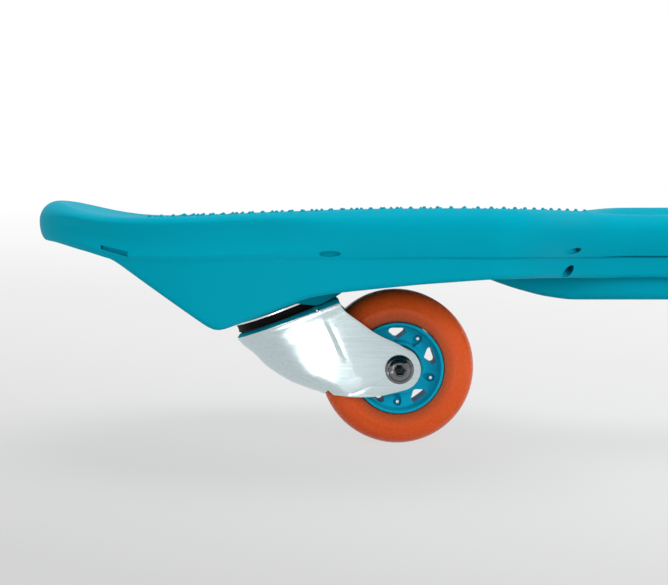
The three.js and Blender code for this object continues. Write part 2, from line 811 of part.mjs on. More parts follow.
function addWheelBearing(group, name, side) {
  const span = (low, high) => (side > 0 ? [low, high] : [-high, -low]);
  const [low, high] = span(bearingBack, bearingFace);
  const middle = (low + high) / 2;
  const outerRing = turn(tube(outerRingBore, bearingRadius, low, high), hubSides);
  const innerRing = turn(tube(axleRadius + gap, innerRingRadius, low, high), ringSides);
  const balls = cagedBalls(wheelBallCircle, wheelBallRadius, wheelBallCount, 0, wheelCageHalfWidth);
  const shieldSpan = span(bearingFace - shieldSet - shieldThickness, bearingFace - shieldSet);
  const shield = turn(tube(innerRingRadius + 2 * gap, outerRingBore - gap, ...shieldSpan), ringSides);
  place(group, `${name}_outer_ring`, outerRing, bearingSteel);
  place(group, `${name}_inner_ring`, innerRing, bearingSteel);
  place(group, `${name}_balls`, balls.rotate([90, 0, 0]).translate(0, middle, 0), cageNylon);
  place(group, `${name}_shield`, shield, zinc);
  const spacer = turn(tube(axleRadius + gap, spacerRadius, ...span(bearingFace + gap, legInner - gap)), ringSides);
  place(group, `${name.replace("bearing", "axle_spacer")}`, spacer, zinc);
}

// The swivel side of a caster, in its own frame with Z up the swivel axis
function addSwivel(group, end) {
  place(group, `${end}_mount_plate`, plateSolidRound(), zinc);
  screwPlaces().forEach(([x, y], i) => {
    place(group, `${end}_mount_screw_${i + 1}`, mountScrew().translate(x, y, 0), darkSteel);
  });
  place(group, `${end}_kingpin`, kingpinSolid(), darkSteel);
  const plateUnder = -gap - plateThickness;
  const seal = tube(sealRadius - sealWall, sealRadius, -crownDrop + gap, plateUnder - gap);
  place(group, `${end}_dust_seal`, turnZ(seal, plateSides), sealRubber);
  const upperZ = plateUnder - gap - upperBallRadius;
  place(group, `${end}_upper_swivel_balls`,
    cagedBalls(upperBallCircle, upperBallRadius, upperBallCount, upperZ, cageHalfWidth), cageNylon);
  place(group, `${end}_fork`, forkSolid(), zinc);
  const lowerZ = -crownDrop - steel - gap - lowerBallRadius;
  place(group, `${end}_lower_swivel_balls`,
    cagedBalls(lowerBallCircle, lowerBallRadius, lowerBallCount, lowerZ, cageHalfWidth), cageNylon);
  const cupLow = -lowerStackDrop();
  const cup = tube(kingpinRadius + gap, cupRadius, cupLow, cupLow + cupThickness);
  place(group, `${end}_swivel_race_cup`, turnZ(cup, ringSides), zinc);
  const nutHigh = cupLow - gap;
  const nut = nutSolid(kingpinNutFlats, kingpinRadius + gap, nutHigh - kingpinNutHeight, nutHigh);
  place(group, `${end}_kingpin_nut`, nut, zinc);
}

// Everything on the axle, about the Y axis through its middle
function addWheel(group, end) {
  place(group, `${end}_axle_bolt`, axleBolt(), darkSteel);
  place(group, `${end}_axle_nut`, axleNut(), darkSteel);
  place(group, `${end}_bearing_spacer`,
    turn(tube(axleRadius + gap, innerRingRadius, -bearingBack + gap, bearingBack - gap), ringSides), zinc);
  addWheelBearing(group, `${end}_bearing_right`, -1);
  addWheelBearing(group, `${end}_bearing_left`, 1);
  place(group, `${end}_hub`, hubSolid(), polymer);
  place(group, `${end}_tyre`, tyreSolid(), urethane);
}

function addCaster(end, mountX) {
  const swivel = new THREE.Group();
  swivel.position.set(mountX, 0, padZ);
  swivel.rotation.y = -incline;
  board.add(swivel);
  addSwivel(swivel, end);
  const wheel = new THREE.Group();
  const axleX = mountX + casterTrail * Math.cos(incline) + axleDrop * Math.sin(incline);
  wheel.position.set(axleX, 0, wheelRadius);
  board.add(wheel);
  addWheel(wheel, end);
}

addDeck();
addCaster("front", frontMountX);
addCaster("rear", rearMountX);

export default board;
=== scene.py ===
import bpy
import bmesh
import math
import numpy as np
from mathutils import Matrix, Vector


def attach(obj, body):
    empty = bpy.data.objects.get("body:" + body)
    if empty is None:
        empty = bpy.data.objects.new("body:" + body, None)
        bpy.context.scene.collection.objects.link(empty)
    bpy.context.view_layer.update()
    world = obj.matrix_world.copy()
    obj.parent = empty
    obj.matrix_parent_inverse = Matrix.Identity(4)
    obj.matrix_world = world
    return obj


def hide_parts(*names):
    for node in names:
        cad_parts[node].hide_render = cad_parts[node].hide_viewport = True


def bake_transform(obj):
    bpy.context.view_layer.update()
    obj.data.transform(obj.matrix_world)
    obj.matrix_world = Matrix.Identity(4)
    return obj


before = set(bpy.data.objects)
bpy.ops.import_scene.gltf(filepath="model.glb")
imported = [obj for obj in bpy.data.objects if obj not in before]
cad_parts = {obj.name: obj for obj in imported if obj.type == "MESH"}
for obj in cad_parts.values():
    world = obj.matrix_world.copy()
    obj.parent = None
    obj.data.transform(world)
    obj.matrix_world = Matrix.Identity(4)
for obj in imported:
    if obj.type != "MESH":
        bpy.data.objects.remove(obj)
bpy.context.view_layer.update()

scene = bpy.context.scene
scene.view_settings.view_transform = "Standard"


# Camera
# A long lens held level with the deck's rim, square to the board's side and opposite the front caster.
photo_width, photo_height = 668, 585
focal_pixels = 1200
axis_pixel = (280, 209)
sensor_width = 36
camera_data = bpy.data.cameras.new("side_camera")
camera_data.sensor_fit = "HORIZONTAL"
camera_data.sensor_width = sensor_width
camera_data.lens = sensor_width * focal_pixels / photo_width
camera_data.shift_x = (photo_width / 2 - axis_pixel[0]) / photo_width
camera_data.shift_y = -(photo_height / 2 - axis_pixel[1]) / photo_width
camera_data.clip_end = 50
camera = bpy.data.objects.new("side_camera", camera_data)
scene.collection.objects.link(camera)
camera.location = (-0.224, -0.600, 0.116)
camera.rotation_euler = (math.pi / 2, 0, 0)
scene.camera = camera


# Deck moulding
# The whole deck is one injection moulding in turquoise polypropylene: two dished foot plates with a
# rolled rim, a narrow neck that twists, and walls and ribs below that stiffen it. It draws straight down.
# Sizes here and below are in millimetres.
mm = 0.001
deck_half_length, deck_half_width, neck_half_width = 341.6, 101.5, 33.0
nose_length, nose_power = 140.0, 2.3
neck_end, shoulder_end = 55.0, 135.0
rim_round, rim_shoulder, rim_depth = 9.0, 14.0, 20.6
fold_inset, fold_step, flank_lean = 3.5, 0.6, 0.15
skin, wall_inset = 4.0, 12.8
# Where the casters' mount faces lie, and how steeply
mount_x = {"front": -222.7, "rear": 166.3}
mount_z = 68.8232
incline = math.radians(21)


def eased_line(points, spread, reach_in_spreads=4):
    """A side-view line through given (x, z) points, its corners eased as a mould's are."""
    step = 0.5
    xs = np.arange(points[0][0], points[-1][0] + step / 2, step)
    reach = int(reach_in_spreads * spread / step)
    ease = np.exp(-0.5 * (np.arange(-reach, reach + 1) * step / spread) ** 2)
    raw = np.interp(xs, *zip(*points))
    return xs, np.convolve(np.pad(raw, reach, mode="edge"), ease / ease.sum(), mode="valid")


# Heights along half the board, from mid-length: top of the rim, the fold under it, and the tread's floor
rim_line = eased_line([
    (0, 113.0), (50, 113.0), (63, 113.1), (72, 114.1), (81, 115.0), (99, 115.5), (132, 116.2), (157, 116.4),
    (188, 115.8), (213, 114.9), (233, 114.2), (259, 113.0), (275, 112.6), (289, 112.4), (302, 113.2),
    (314, 115.3), (325, 118.3), (333, 120.8), (343, 120.9)], 4.0)
fold_line = eased_line([
    (0, 93.4), (76, 93.6), (118, 95.6), (153, 95.9), (195, 95.3), (235, 95.0), (262, 93.8), (288, 93.7),
    (297, 95.3), (310, 98.8), (320, 100.3), (330, 101.2), (343, 101.5)], 3.0)
floor_line = eased_line([
    (0, 116.7), (54, 116.7), (60, 116.3), (68, 115.4), (76, 114.2), (85, 112.3), (98, 110.8), (113, 110.5),
    (254, 110.5), (278, 110.2), (303, 110.9), (315, 112.6), (327, 115.4), (335, 118.2), (343, 118.8)], 4.0)
# Lower edge of the walls from nose to tail: nose wedge, neck, tail wedge
edge_line = eased_line([
    (-343, 101.2), (-330, 100.8), (-320, 99.7), (-310, 97.6), (-300, 95.2), (-297, 93.9), (-251.5, 63.2),
    (-212, 78.6), (-199, 80.6), (-165, 84.0), (-132.6, 86.3), (-111.5, 85.7), (-73, 83.0), (55, 83.0),
    (98, 86.0), (137.5, 63.2), (190, 84.0), (214, 86.0), (286, 86.0), (297, 93.9), (310, 97.6), (320, 99.7),
    (330, 100.8), (343, 101.2)], 2.8)


def rim_top(x):
    """Height of the rim's crest."""
    return np.interp(np.abs(x), *rim_line)


def fold_z(x):
    """Height of the fold between the rim's roll and the wall."""
    return np.interp(np.abs(x), *fold_line)


def tread_floor(x):
    """Height of the tread along the board's middle."""
    return np.interp(np.abs(x), *floor_line)


def near_tip(x):
    """0 along the board and 1 at its two tips, where the walls run out into the rim."""
    return np.clip((np.abs(x) - 312) / 16, 0, 1)


def edge_z(x):
    """The walls' lower edge, which always stays under the fold."""
    return np.minimum(np.interp(x, *edge_line), fold_z(x) - 1.4 + 1.1 * near_tip(x))


def half_width_at(x):
    """Half width of the neck and the shoulders, up to where the rounded nose starts."""
    t = np.clip((np.abs(x) - neck_end) / (shoulder_end - neck_end), 0, 1)
    return neck_half_width + (deck_half_width - neck_half_width) * (1 - np.cos(np.pi * t)) / 2


def plan_outline(step):
    """Half of the plan outline from tail to nose at even steps, with outward normals and spine points."""
    turn = np.linspace(math.pi / 2, 0, 400)
    arc_x = deck_half_length - nose_length + nose_length * np.sin(turn) ** (2 / nose_power)
    arc_y = deck_half_width * np.cos(turn).clip(0) ** (2 / nose_power)
    arc_y[0] = 0
    body_x = np.linspace(arc_x[-1], -arc_x[-1], 1200)[1:-1]
    x = np.concatenate([arc_x, body_x, -arc_x[::-1]])
    y = np.concatenate([arc_y, half_width_at(body_x), arc_y[::-1]])
    run = np.concatenate([[0], np.cumsum(np.hypot(np.diff(x), np.diff(y)))])
    even = np.linspace(0, run[-1], int(run[-1] / step) + 1)
    px, py = np.interp(even, run, x), np.interp(even, run, y)
    tx, ty = np.gradient(px), np.gradient(py)
    size = np.hypot(tx, ty)
    nx, ny = -ty / size, tx / size
    nx[0], ny[0], nx[-1], ny[-1] = 1, 0, -1, 0
    nx, ny = np.where(ny < 0, -nx, nx), np.abs(ny)
    spine = np.clip(px, -arc_x[-1], arc_x[-1])
    whole = lambda half, sign: np.concatenate([half, sign * half[1:-1][::-1]])
    return np.stack([whole(px, 1), whole(py, -1), whole(nx, 1), whole(ny, -1), whole(spine, 1)], axis=1)


outline = plan_outline(2.5)


def raised(x, y, height):
    """Plan points at one height, or at a height worked out for each x."""
    return np.stack([x, y, height(x) if callable(height) else np.full_like(x, height)], axis=1)


def inset_ring(inset, height):
    """The outline drawn in by an inset."""
    return raised(outline[:, 0] - outline[:, 2] * inset, outline[:, 1] - outline[:, 3] * inset, height)


def inner_ring(start_inset, share, height):
    """A ring between the spine (share 0) and the outline drawn in by start_inset (share 1)."""
    ring = inset_ring(start_inset, 0)
    return raised(outline[:, 4] + (ring[:, 0] - outline[:, 4]) * share, ring[:, 1] * share, height)


def tread_z(x, climb):
    """The tread's height: climb 0 is the dish's floor and climb 1 the rim's crest."""
    return tread_floor(x) + (rim_top(x) - tread_floor(x)) * climb


dish_top = 0.85


def dish_climb(share):
    """How far the dish has climbed between the spine and the rim's shoulder."""
    return dish_top * np.clip((share - 0.5) / 0.5, 0, 1) ** 1.8


def rim_climb(inset):
    """How far it has climbed between the rim's shoulder and its crest."""
    return 1 - (1 - dish_top) * ((inset - rim_round) / (rim_shoulder - rim_round)) ** 1.2


def link_mesh(name, verts_mm, faces, smooth_angle=32):
    """A mesh object from points in millimetres, welded, faced outwards and shaded smooth up to an angle."""
    mesh = bpy.data.meshes.new(name)
    mesh.from_pydata([tuple(v) for v in np.asarray(verts_mm) * mm], [], faces)
    work = bmesh.new()
    work.from_mesh(mesh)
    bmesh.ops.remove_doubles(work, verts=work.verts, dist=2e-6)
    bmesh.ops.recalc_face_normals(work, faces=work.faces)
    work.to_mesh(mesh)
    work.free()
    piece = bpy.data.objects.new(name, mesh)
    scene.collection.objects.link(piece)
    shade(piece, smooth_angle)
    return piece


def shade(piece, angle=32):
    """Smooth shading, with edges sharper than the angle left hard."""
    piece.data.polygons.foreach_set("use_smooth", [True] * len(piece.data.polygons))
    piece.data.set_sharp_from_angle(angle=math.radians(angle))


def skinned(name, rings, capped=False, smooth_angle=32):
    """Closed rings of equal count joined one to the next, with or without a cap at both ends."""
    count = len(rings[0])
    faces = []
    for i in range(len(rings) - 1):
        for k in range(count):
            a, b = i * count + k, i * count + (k + 1) % count
            faces.append((a, b, b + count, a + count))
    if capped:
        start = (len(rings) - 1) * count
        faces += [tuple(range(count))[::-1], tuple(range(start, start + count))]
    return link_mesh(name, np.concatenate(rings), faces, smooth_angle)


def applied(piece):
    """Gives a piece the mesh that its modifiers make."""
    done = bpy.data.meshes.new_from_object(piece.evaluated_get(bpy.context.evaluated_depsgraph_get()))
    piece.modifiers.clear()
    old, piece.data = piece.data, done
    bpy.data.meshes.remove(old)
    return piece


def cut(piece, tool, operation="DIFFERENCE"):
    """Cuts, joins or intersects one closed mesh with another, which it uses up."""
    step = piece.modifiers.new("cut", "BOOLEAN")
    step.operation = operation
    step.solver = "MANIFOLD"
    step.object = tool
    applied(piece)
    bpy.data.objects.remove(tool)
    return piece


def boxes(name, spans):
    """Separate upright boxes in one mesh, each given by its low and high corner."""
    verts, faces = [], []
    for low, high in spans:
        at = len(verts)
        verts += [(x, y, z) for z in (low[2], high[2]) for x, y in
                  ((low[0], low[1]), (high[0], low[1]), (high[0], high[1]), (low[0], high[1]))]
        faces += [tuple(at + k for k in f) for f in
                  ((3, 2, 1, 0), (4, 5, 6, 7), (0, 1, 5, 4), (1, 2, 6, 5), (2, 3, 7, 6), (3, 0, 4, 7))]
    return link_mesh(name, verts, faces)


def side_prism(name, points, half_span):
    """A side-view outline of (x, z) points as a prism across the board."""
    rings = [np.array([(x, y, z) for x, z in points]) for y in (-half_span, half_span)]
    return skinned(name, rings, True)


# Round the rim from its crest to the fold, as (inset, share of the depth): a plain roll along the middle,
# toward the ends a narrow bead with a cove below it, and a full bullnose round the tips
plain_roll = [(rim_round * (1 - math.sin(a)), rim_round * (1 - math.cos(a)) / rim_depth)
              for a in np.radians(np.arange(0, 91, 9))]
plain_roll += [(fold_inset * ((d - rim_round) / (rim_depth - rim_round)) ** 2, d / rim_depth)
               for d in (10.6, 12.4, 14.2, 16.0, 17.6, 19.0, 20.0, rim_depth)]
coved_roll = [
    (9, 0), (7.4, 0.001), (5.8, 0.006), (4.4, 0.018), (3.1, 0.04), (2.1, 0.07), (1.35, 0.105), (1.0, 0.145),
    (1.1, 0.19), (1.5, 0.24), (2.0, 0.30), (2.4, 0.37), (2.55, 0.45), (2.3, 0.55), (1.6, 0.66), (0.75, 0.78),
    (0.3, 0.88), (0.8, 0.95), (1.5, 1)]
bull_roll = [(rim_round * (1 - math.sin(a)), 0.5 * (1 - math.cos(a)))
             for a in np.radians(np.arange(0, 91, 9))]
bull_roll += [(fold_inset * (1 - math.cos(b)), 0.5 + 0.5 * math.sin(b) / math.sin(math.radians(80)))
              for b in np.radians(np.arange(10, 81, 10))]
crest_x = outline[:, 0] - outline[:, 2] * rim_round
crease_x = outline[:, 0] - outline[:, 2] * (fold_inset + fold_step)


def eased_share(x, start, span):
    """0 nearer mid-length than start, 1 beyond start + span, with a smooth turn between."""
    share = np.clip((np.abs(x) - start) / span, 0, 1)
    return share * share * (3 - 2 * share)


cove_start, tip_start, cove_span, tip_span = 185, 307, 55, 24
cove, tip = eased_share(crest_x, cove_start, cove_span), eased_share(crest_x, tip_start, tip_span)
cove_bulge = 2.0
crease_out = cove_bulge * cove * (1 - tip)
# The fold steps in further round the neck and the shoulders than along the foot plates
neck_step, neck_step_end = 1.3, 195
step_in = fold_step + neck_step * np.clip((neck_step_end - np.abs(crest_x)) / cove_span, 0, 1)
# Below the fold's crease the wall starts, and rounds off at its lower edge where there is room for it
crease_share = 1 - 0.85 * near_tip(crease_x)
crease_drop, edge_round = 1.1, 2.4
wall_top = fold_z(crease_x) - crease_drop * crease_share
wall_round = np.clip((wall_top - edge_z(crease_x)) * 0.8, 0.03, edge_round)


def rim_ring(plain, coved, bull):
    """One ring of the rim's roll, blended from its three profiles."""
    inset, share = ((p + (c - p) * cove) * (1 - tip) + b * tip for p, c, b in zip(plain, coved, bull))
    ring = inset_ring(inset, 0)
    ring[:, 2] = rim_top(crest_x) + (fold_z(crease_x) - rim_top(crest_x)) * share
    return ring


def crease_ring(inset, below):
    """A ring in the crease, so far below the fold."""
    ring = inset_ring(inset - crease_out, 0)
    ring[:, 2] = fold_z(crease_x) - below * crease_share
    return ring


def flank_ring(inset, above, share):
    """A ring down the leaning wall: share 0 is the crease and share 1 the wall's lower edge."""
    fall = lambda ring: (wall_top - edge_z(ring[:, 0]) - above) * share
    ring = inset_ring(inset - crease_out, 0)
    lean = flank_lean * np.maximum(fall(ring), 0)
    ring[:, 0] -= outline[:, 2] * lean
    ring[:, 1] -= outline[:, 3] * lean
    ring[:, 2] = wall_top - fall(ring)
    return ring


def deck_shell():
    """The moulding's skin: over the tread and the rim, down the wall, and back up and across underneath."""
    rings = [inner_ring(rim_shoulder, 0, lambda x: tread_z(x, 0))]
    for share in (0.2, 0.4, 0.5, 0.56, 0.62, 0.68, 0.74, 0.8, 0.86, 0.92, 0.97):
        rings.append(inner_ring(rim_shoulder, share, lambda x, s=share: tread_z(x, dish_climb(s))))
    for inset in (rim_shoulder, 12.8, 11.6, 10.4):
        rings.append(inset_ring(inset, lambda x, i=inset: tread_z(x, rim_climb(i))))
    rings += [rim_ring(*places) for places in zip(plain_roll, coved_roll, bull_roll)]
    for share, below in ((0.25, 0.2), (0.7, 0.55), (1.0, crease_drop)):
        rings.append(crease_ring(fold_inset + step_in * share, below))
    wall_out = fold_inset + step_in
    for share in (0.15, 0.35, 0.55, 0.75, 0.9, 1.0):
        rings.append(flank_ring(wall_out, wall_round, share))
    for angle in np.radians((18, 36, 54, 72, 90)):
        rings.append(flank_ring(wall_out + edge_round * (1 - math.cos(angle)),
                                wall_round * (1 - math.sin(angle)), 1.0))
    foot, root = 0.8, 2.0
    for out, up in ((foot, 0), (0.2, 0.2), (0, foot)):
        rings.append(inset_ring(wall_inset - out, lambda x, u=up: edge_z(x) + u))
    under = lambda x, s: tread_z(x, dish_climb(s)) - skin
    low = lambda x: edge_z(x) + foot
    high = lambda x: under(x, 0.9) - root
    for share in (0.3, 0.7):
        rings.append(inset_ring(wall_inset, lambda x, s=share: low(x) + (high(x) - low(x)) * s))
    for back, down in ((0, root), (0.6, 0.6), (root, 0)):
        rings.append(inset_ring(wall_inset + back, lambda x, d=down: under(x, 0.9) - d))
    for share in (0.9, 0.8, 0.65, 0.5, 0.25, 0):
        rings.append(inner_ring(rim_shoulder, share, lambda x, s=share: under(x, s)))
    return skinned("deck_moulding", rings)


# Ribs, keel walls and the upright bosses that carry the casters, kept inside the outer wall
rib, rib_pitch_x, rib_pitch_y = 2.6, 50.0, 36.0
keel_half, keel_wall, middle_wall = 18.0, 4.0, 8.0
rib_foot, rib_cover, rib_inset = 1.2, 2.0, 9.0
below_all, above_all = 45.0, 125.0
boss_radius, boss_top, boss_sides = 30.0, 110.0, 72


def rib_grid():
    """Ribs across and along, trimmed to the walls' lower edge, joined with the bosses and fitted inside."""
    reach, low = deck_half_length, 50.0

    def wall_across(x, thick):
        return (x - thick / 2, -reach, low), (x + thick / 2, reach, above_all)

    def wall_along(y, thick):
        return (-reach, y - thick / 2, low), (reach, y + thick / 2, above_all)

    across = [wall_across(s * x, rib) for s in (-1, 1) for x in np.arange(rib_pitch_x, reach, rib_pitch_x)]
    across.append(wall_across(0, middle_wall))
    along = []
    for s in (-1, 1):
        middle = keel_half - keel_wall / 2
        along.append(wall_along(s * middle, keel_wall))
        along += [wall_along(s * (middle + k * rib_pitch_y), rib) for k in (1, 2)]
    grid = cut(boxes("ribs_across", across), boxes("ribs_along", along), "UNION")
    end = 342
    along_x = np.arange(-end, end + 1, 2.0)
    profile = [(x, z + rib_foot) for x, z in zip(along_x, edge_z(along_x))]
    profile += [(end, above_all), (-end, above_all)]
    grid = cut(grid, side_prism("rib_profile", profile, reach), "INTERSECT")
    angles = np.linspace(0, 2 * math.pi, boss_sides, endpoint=False)
    for x0 in mount_x.values():
        x = x0 + boss_radius * math.cos(incline) * np.cos(angles)
        y = boss_radius * np.sin(angles)
        foot = np.stack([x, y, mount_z + (x - x0) * math.tan(incline)], axis=1)
        top = np.stack([x, y, 0 * x + boss_top], axis=1)
        grid = cut(grid, skinned("boss", [foot, top], True), "UNION")
    roof = lambda x: tread_z(x, 0) - rib_cover
    room = skinned("inside", [
        inner_ring(rib_inset, 0, below_all), inset_ring(rib_inset, below_all),
        inset_ring(rib_inset, lambda x: np.minimum(tread_z(x, 0.3), rim_top(x)) - rib_cover),
        inner_ring(rib_inset, 0.6, roof), inner_ring(rib_inset, 0, roof)])
    return cut(grid, room, "INTERSECT")


def keel_body():
    """The closed keel under the neck, rounded along its lower corners."""
    belly_points = [(-140, 90), (-133, 86), (-110, 77.4), (-96, 73.6), (-83, 71.7), (83, 71.7), (96, 73.6),
                    (110, 77.4), (133, 86), (140, 90)]
    stations = np.concatenate([np.linspace(-138, -80, 24), np.linspace(-70, 70, 8), np.linspace(80, 138, 24)])
    belly = np.interp(stations, *eased_line(belly_points, 2.5, 3.2))
    corner, keel_top = 5.0, 100.0
    rings = []
    for x, z in zip(stations, belly):
        half = [(keel_half - corner * (1 - math.sin(a)), z + corner * (1 - math.cos(a)))
                for a in np.radians((0, 22.5, 45, 67.5, 90))] + [(keel_half, keel_top)]
        ring = half + [(-y, h) for y, h in half[::-1]]
        rings.append(np.array([(x, y, h) for y, h in ring]))
    return skinned("keel", rings, True)


def caster_frame(end):
    """The swivel's frame: its origin on the mount face, Z up the swivel axis and X up the slope."""
    return Matrix.Translation((mount_x[end] * mm, 0, mount_z * mm)) @ Matrix.Rotation(-incline, 4, "Y")


def moved(place, x, y):
    """A frame shifted by millimetres along its own X and Y."""
    return place @ Matrix.Translation((x * mm, y * mm, 0))


def turned(name, profile, sides, place, smooth_angle=32):
    """A profile of (radius, height) pairs in millimetres turned about a frame's Z axis and set in place."""
    angles = np.linspace(0, 2 * math.pi, sides, endpoint=False)
    rings = [np.stack([r * np.cos(angles), r * np.sin(angles), 0 * angles + z], axis=1) for r, z in profile]
    if profile[0][0] > 0:
        rings.append(rings[0])
    piece = skinned(name, rings, smooth_angle=smooth_angle)
    piece.data.transform(place)
    piece.data.update()
    return piece


def rod(name, radius, low, high, sides, place):
    """A plain cylinder, or a prism when it has few sides."""
    return turned(name, [(0, low), (radius, low), (radius, high), (0, high)], sides, place)


skirt_inner, skirt_outer, skirt_depth, skirt_root = 27.2, 29.9, 5.7, 4.0


def boss_skirt(end):
    """A skirt round the rear half of a boss, deeper toward the rear, that shields the swivel bearing."""
    angles = np.linspace(0, 2 * math.pi, boss_sides, endpoint=False)
    rings = []
    for radius, foot in ((skirt_inner, False), (skirt_inner, True), (skirt_outer, True), (skirt_outer, False),
                         (skirt_inner, False)):
        along = radius * np.cos(angles)
        depth = -0.6 + skirt_depth * np.clip((along - 5) / 11, 0, 1)
        height = -depth if foot else 0 * angles + skirt_root
        rings.append(np.stack([along, radius * np.sin(angles), height], axis=1))
    piece = skinned("skirt", rings)
    piece.data.transform(caster_frame(end))
    return piece


seam_reach, seam_deep = 74, 2.6


def neck_seam(side):
    """The seam along one side of the neck, a narrow groove in the fold that thins out toward its ends."""
    rings = []
    for x in np.linspace(-seam_reach, seam_reach, 48):
        wall = float(half_width_at(x)) - fold_inset
        half = 0.06 + 0.34 * min(1, (seam_reach - abs(x)) / 16)
        mid = float(fold_z(x)) - 0.2
        rings.append(np.array([(x, side * y, z) for y, z in (
            (wall - seam_deep, mid - half), (wall + 3, mid - half), (wall + 3, mid + half),
            (wall - seam_deep, mid + half))]))
    return skinned("seam", rings, True)


screw_circle = 20
screw_spots = [(screw_circle * math.cos(a), screw_circle * math.sin(a))
               for a in np.radians((45, 135, 225, 315))]


def deck_cuts():
    """The kingpin head's pocket and the screws' pilot holes in each boss."""
    tools = []
    for end in ("front", "rear"):
        base = caster_frame(end)
        tools.append(rod("pocket", 10.3, -5, 5.6, 48, base))
        for x, y in screw_spots:
            tools.append(turned("pilot", [(0, -5), (2.5, -5), (2.5, 16), (0, 18)], 16, moved(base, x, y)))
    return tools


slot_x, slot_z, slot_tilt, slot_deep = 296, 98.2, math.radians(12), 2.6
slot_corners = ((-6.3, -1.0), (6.6, -1.4), (6.6, 0.9), (-6.3, 0.7))
# Each hole's place along and up the side, the wall's inset there, its radius and the way it is bored
neck_holes = ((93.2, 96.6, 2.0, 1.5, (-0.50, -0.85, 0.14)), (93.4, 87.0, 6.4, 2.7, (-0.24, -0.86, 0.38)))
dent_x, dent_inset, dent_z, dent_radii = 203.5, 2.6, 97.4, (5.2, 1.5, 1.4)


def side_slot(sx, sy):
    """The slanting slot near a tip, cut to one depth along the curved side."""
    points = []
    for depth in (-slot_deep, 8):
        for along, up in slot_corners:
            x = slot_x - along * math.cos(slot_tilt)
            beyond = (x - (deck_half_length - nose_length)) / nose_length
            reach = deck_half_width * (1 - beyond ** nose_power) ** (1 / nose_power)
            points.append((sx * x, sy * (reach + depth), slot_z - along * math.sin(slot_tilt) + up))
    return link_mesh("slot", points, [(0, 1, 2, 3), (7, 6, 5, 4), (0, 4, 5, 1), (1, 5, 6, 2), (2, 6, 7, 3),
                                      (3, 7, 4, 0)])


def neck_hole(sx, sy, x, z, inset, radius, lean):
    """A hole bored at a slant, inward and toward mid-length, so that its mouth runs out to a point."""
    slope = float(half_width_at(x + 0.5) - half_width_at(x - 0.5))
    wall = float(half_width_at(x)) - inset * math.hypot(1, slope)
    aim = Vector((sx * lean[0], sy * lean[1], lean[2])).to_track_quat("Z", "Y").to_matrix().to_4x4()
    return rod("hole", radius, -9, 12, 32, Matrix.Translation(Vector((sx * x, sy * wall, z)) * mm) @ aim)


def side_dent(sx, sy):
    """A shallow oval dent in the middle of a foot plate's side."""
    middle = Vector((sx * dent_x, sy * (deck_half_width - dent_inset), dent_z)) * mm
    half_round = [(math.sin(a), math.cos(a)) for a in np.linspace(0, math.pi, 13)]
    return turned("dent", half_round, 32, Matrix.Translation(middle) @ Matrix.Diagonal((*dent_radii, 1)))


def side_details():
    """Everything that is cut into the sides, at all four corners of the board."""
    tools = [neck_seam(-1), neck_seam(1)]
    for sx in (-1, 1):
        for sy in (-1, 1):
            tools.append(side_slot(sx, sy))
            tools += [neck_hole(sx, sy, *hole) for hole in neck_holes]
            tools.append(side_dent(sx, sy))
    return tools


def joined(tools):
    """Several separate closed meshes as one."""
    work = bmesh.new()
    for tool in tools:
        work.from_mesh(tool.data)
    mesh = bpy.data.meshes.new("tools")
    work.to_mesh(mesh)
    work.free()
    for tool in tools:
        bpy.data.objects.remove(tool)
    piece = bpy.data.objects.new("tools", mesh)
    scene.collection.objects.link(piece)
    return piece


deck = deck_shell()
cut(deck, rib_grid(), "UNION")
cut(deck, keel_body(), "UNION")
for end in mount_x:
    cut(deck, boss_skirt(end), "UNION")
cut(deck, joined(deck_cuts()))
cut(deck, joined(side_details()))
shade(deck, 30)


def linear(colour):
    """An sRGB hex colour as linear RGBA."""
    parts = [int(colour[i:i + 2], 16) / 255 for i in (1, 3, 5)]
    return tuple(c / 12.92 if c <= 0.04045 else ((c + 0.055) / 1.055) ** 2.4 for c in parts) + (1.0,)


def add(tree, kind, inputs=(), **settings):
    """Adds a node with its settings; each input takes another node's output or a value of its own."""
    node = tree.nodes.new(kind)
    for key, value in settings.items():
        setattr(node, key, value)
    for key, value in dict(inputs).items():
        if isinstance(value, bpy.types.NodeSocket):
            tree.links.new(value, node.inputs[key])
        else:
            node.inputs[key].default_value = value
    return node


def new_material(name):
    """A new material, its node tree, and the place on the piece that its patterns follow."""
    material = bpy.data.materials.new(name)
    material.use_nodes = True
    tree = material.node_tree
    tree.nodes.clear()
    return material, tree, add(tree, "ShaderNodeTexCoord").outputs["Object"]


def cloudy_tone(tree, place, scale, detail, tone, other):
    """A colour that drifts between two tones over a cloud pattern, and the pattern."""
    cloud = add(tree, "ShaderNodeTexNoise", {"Vector": place, "Scale": scale, "Detail": detail})
    mix = add(tree, "ShaderNodeMix", {"Factor": cloud.outputs["Fac"], "A": linear(tone),
                                      "B": linear(other)}, data_type="RGBA")
    return mix.outputs["Result"], cloud.outputs["Fac"]


def uneven_sheen(tree, place, scale, low, high):
    """A roughness that wanders from low to high over a grain pattern, and the pattern."""
    grain = add(tree, "ShaderNodeTexNoise", {"Vector": place, "Scale": scale, "Detail": 2.0})
    sheen = add(tree, "ShaderNodeMapRange", {"Value": grain.outputs["Fac"], "To Min": low, "To Max": high})
    return sheen.outputs["Result"], grain.outputs["Fac"]


def finished(material, inputs):
    """Gives a material its shader, with the constants and patterns, and its output."""
    shader = add(material.node_tree, "ShaderNodeBsdfPrincipled", inputs)
    add(material.node_tree, "ShaderNodeOutputMaterial", {"Surface": shader.outputs["BSDF"]})
    return material


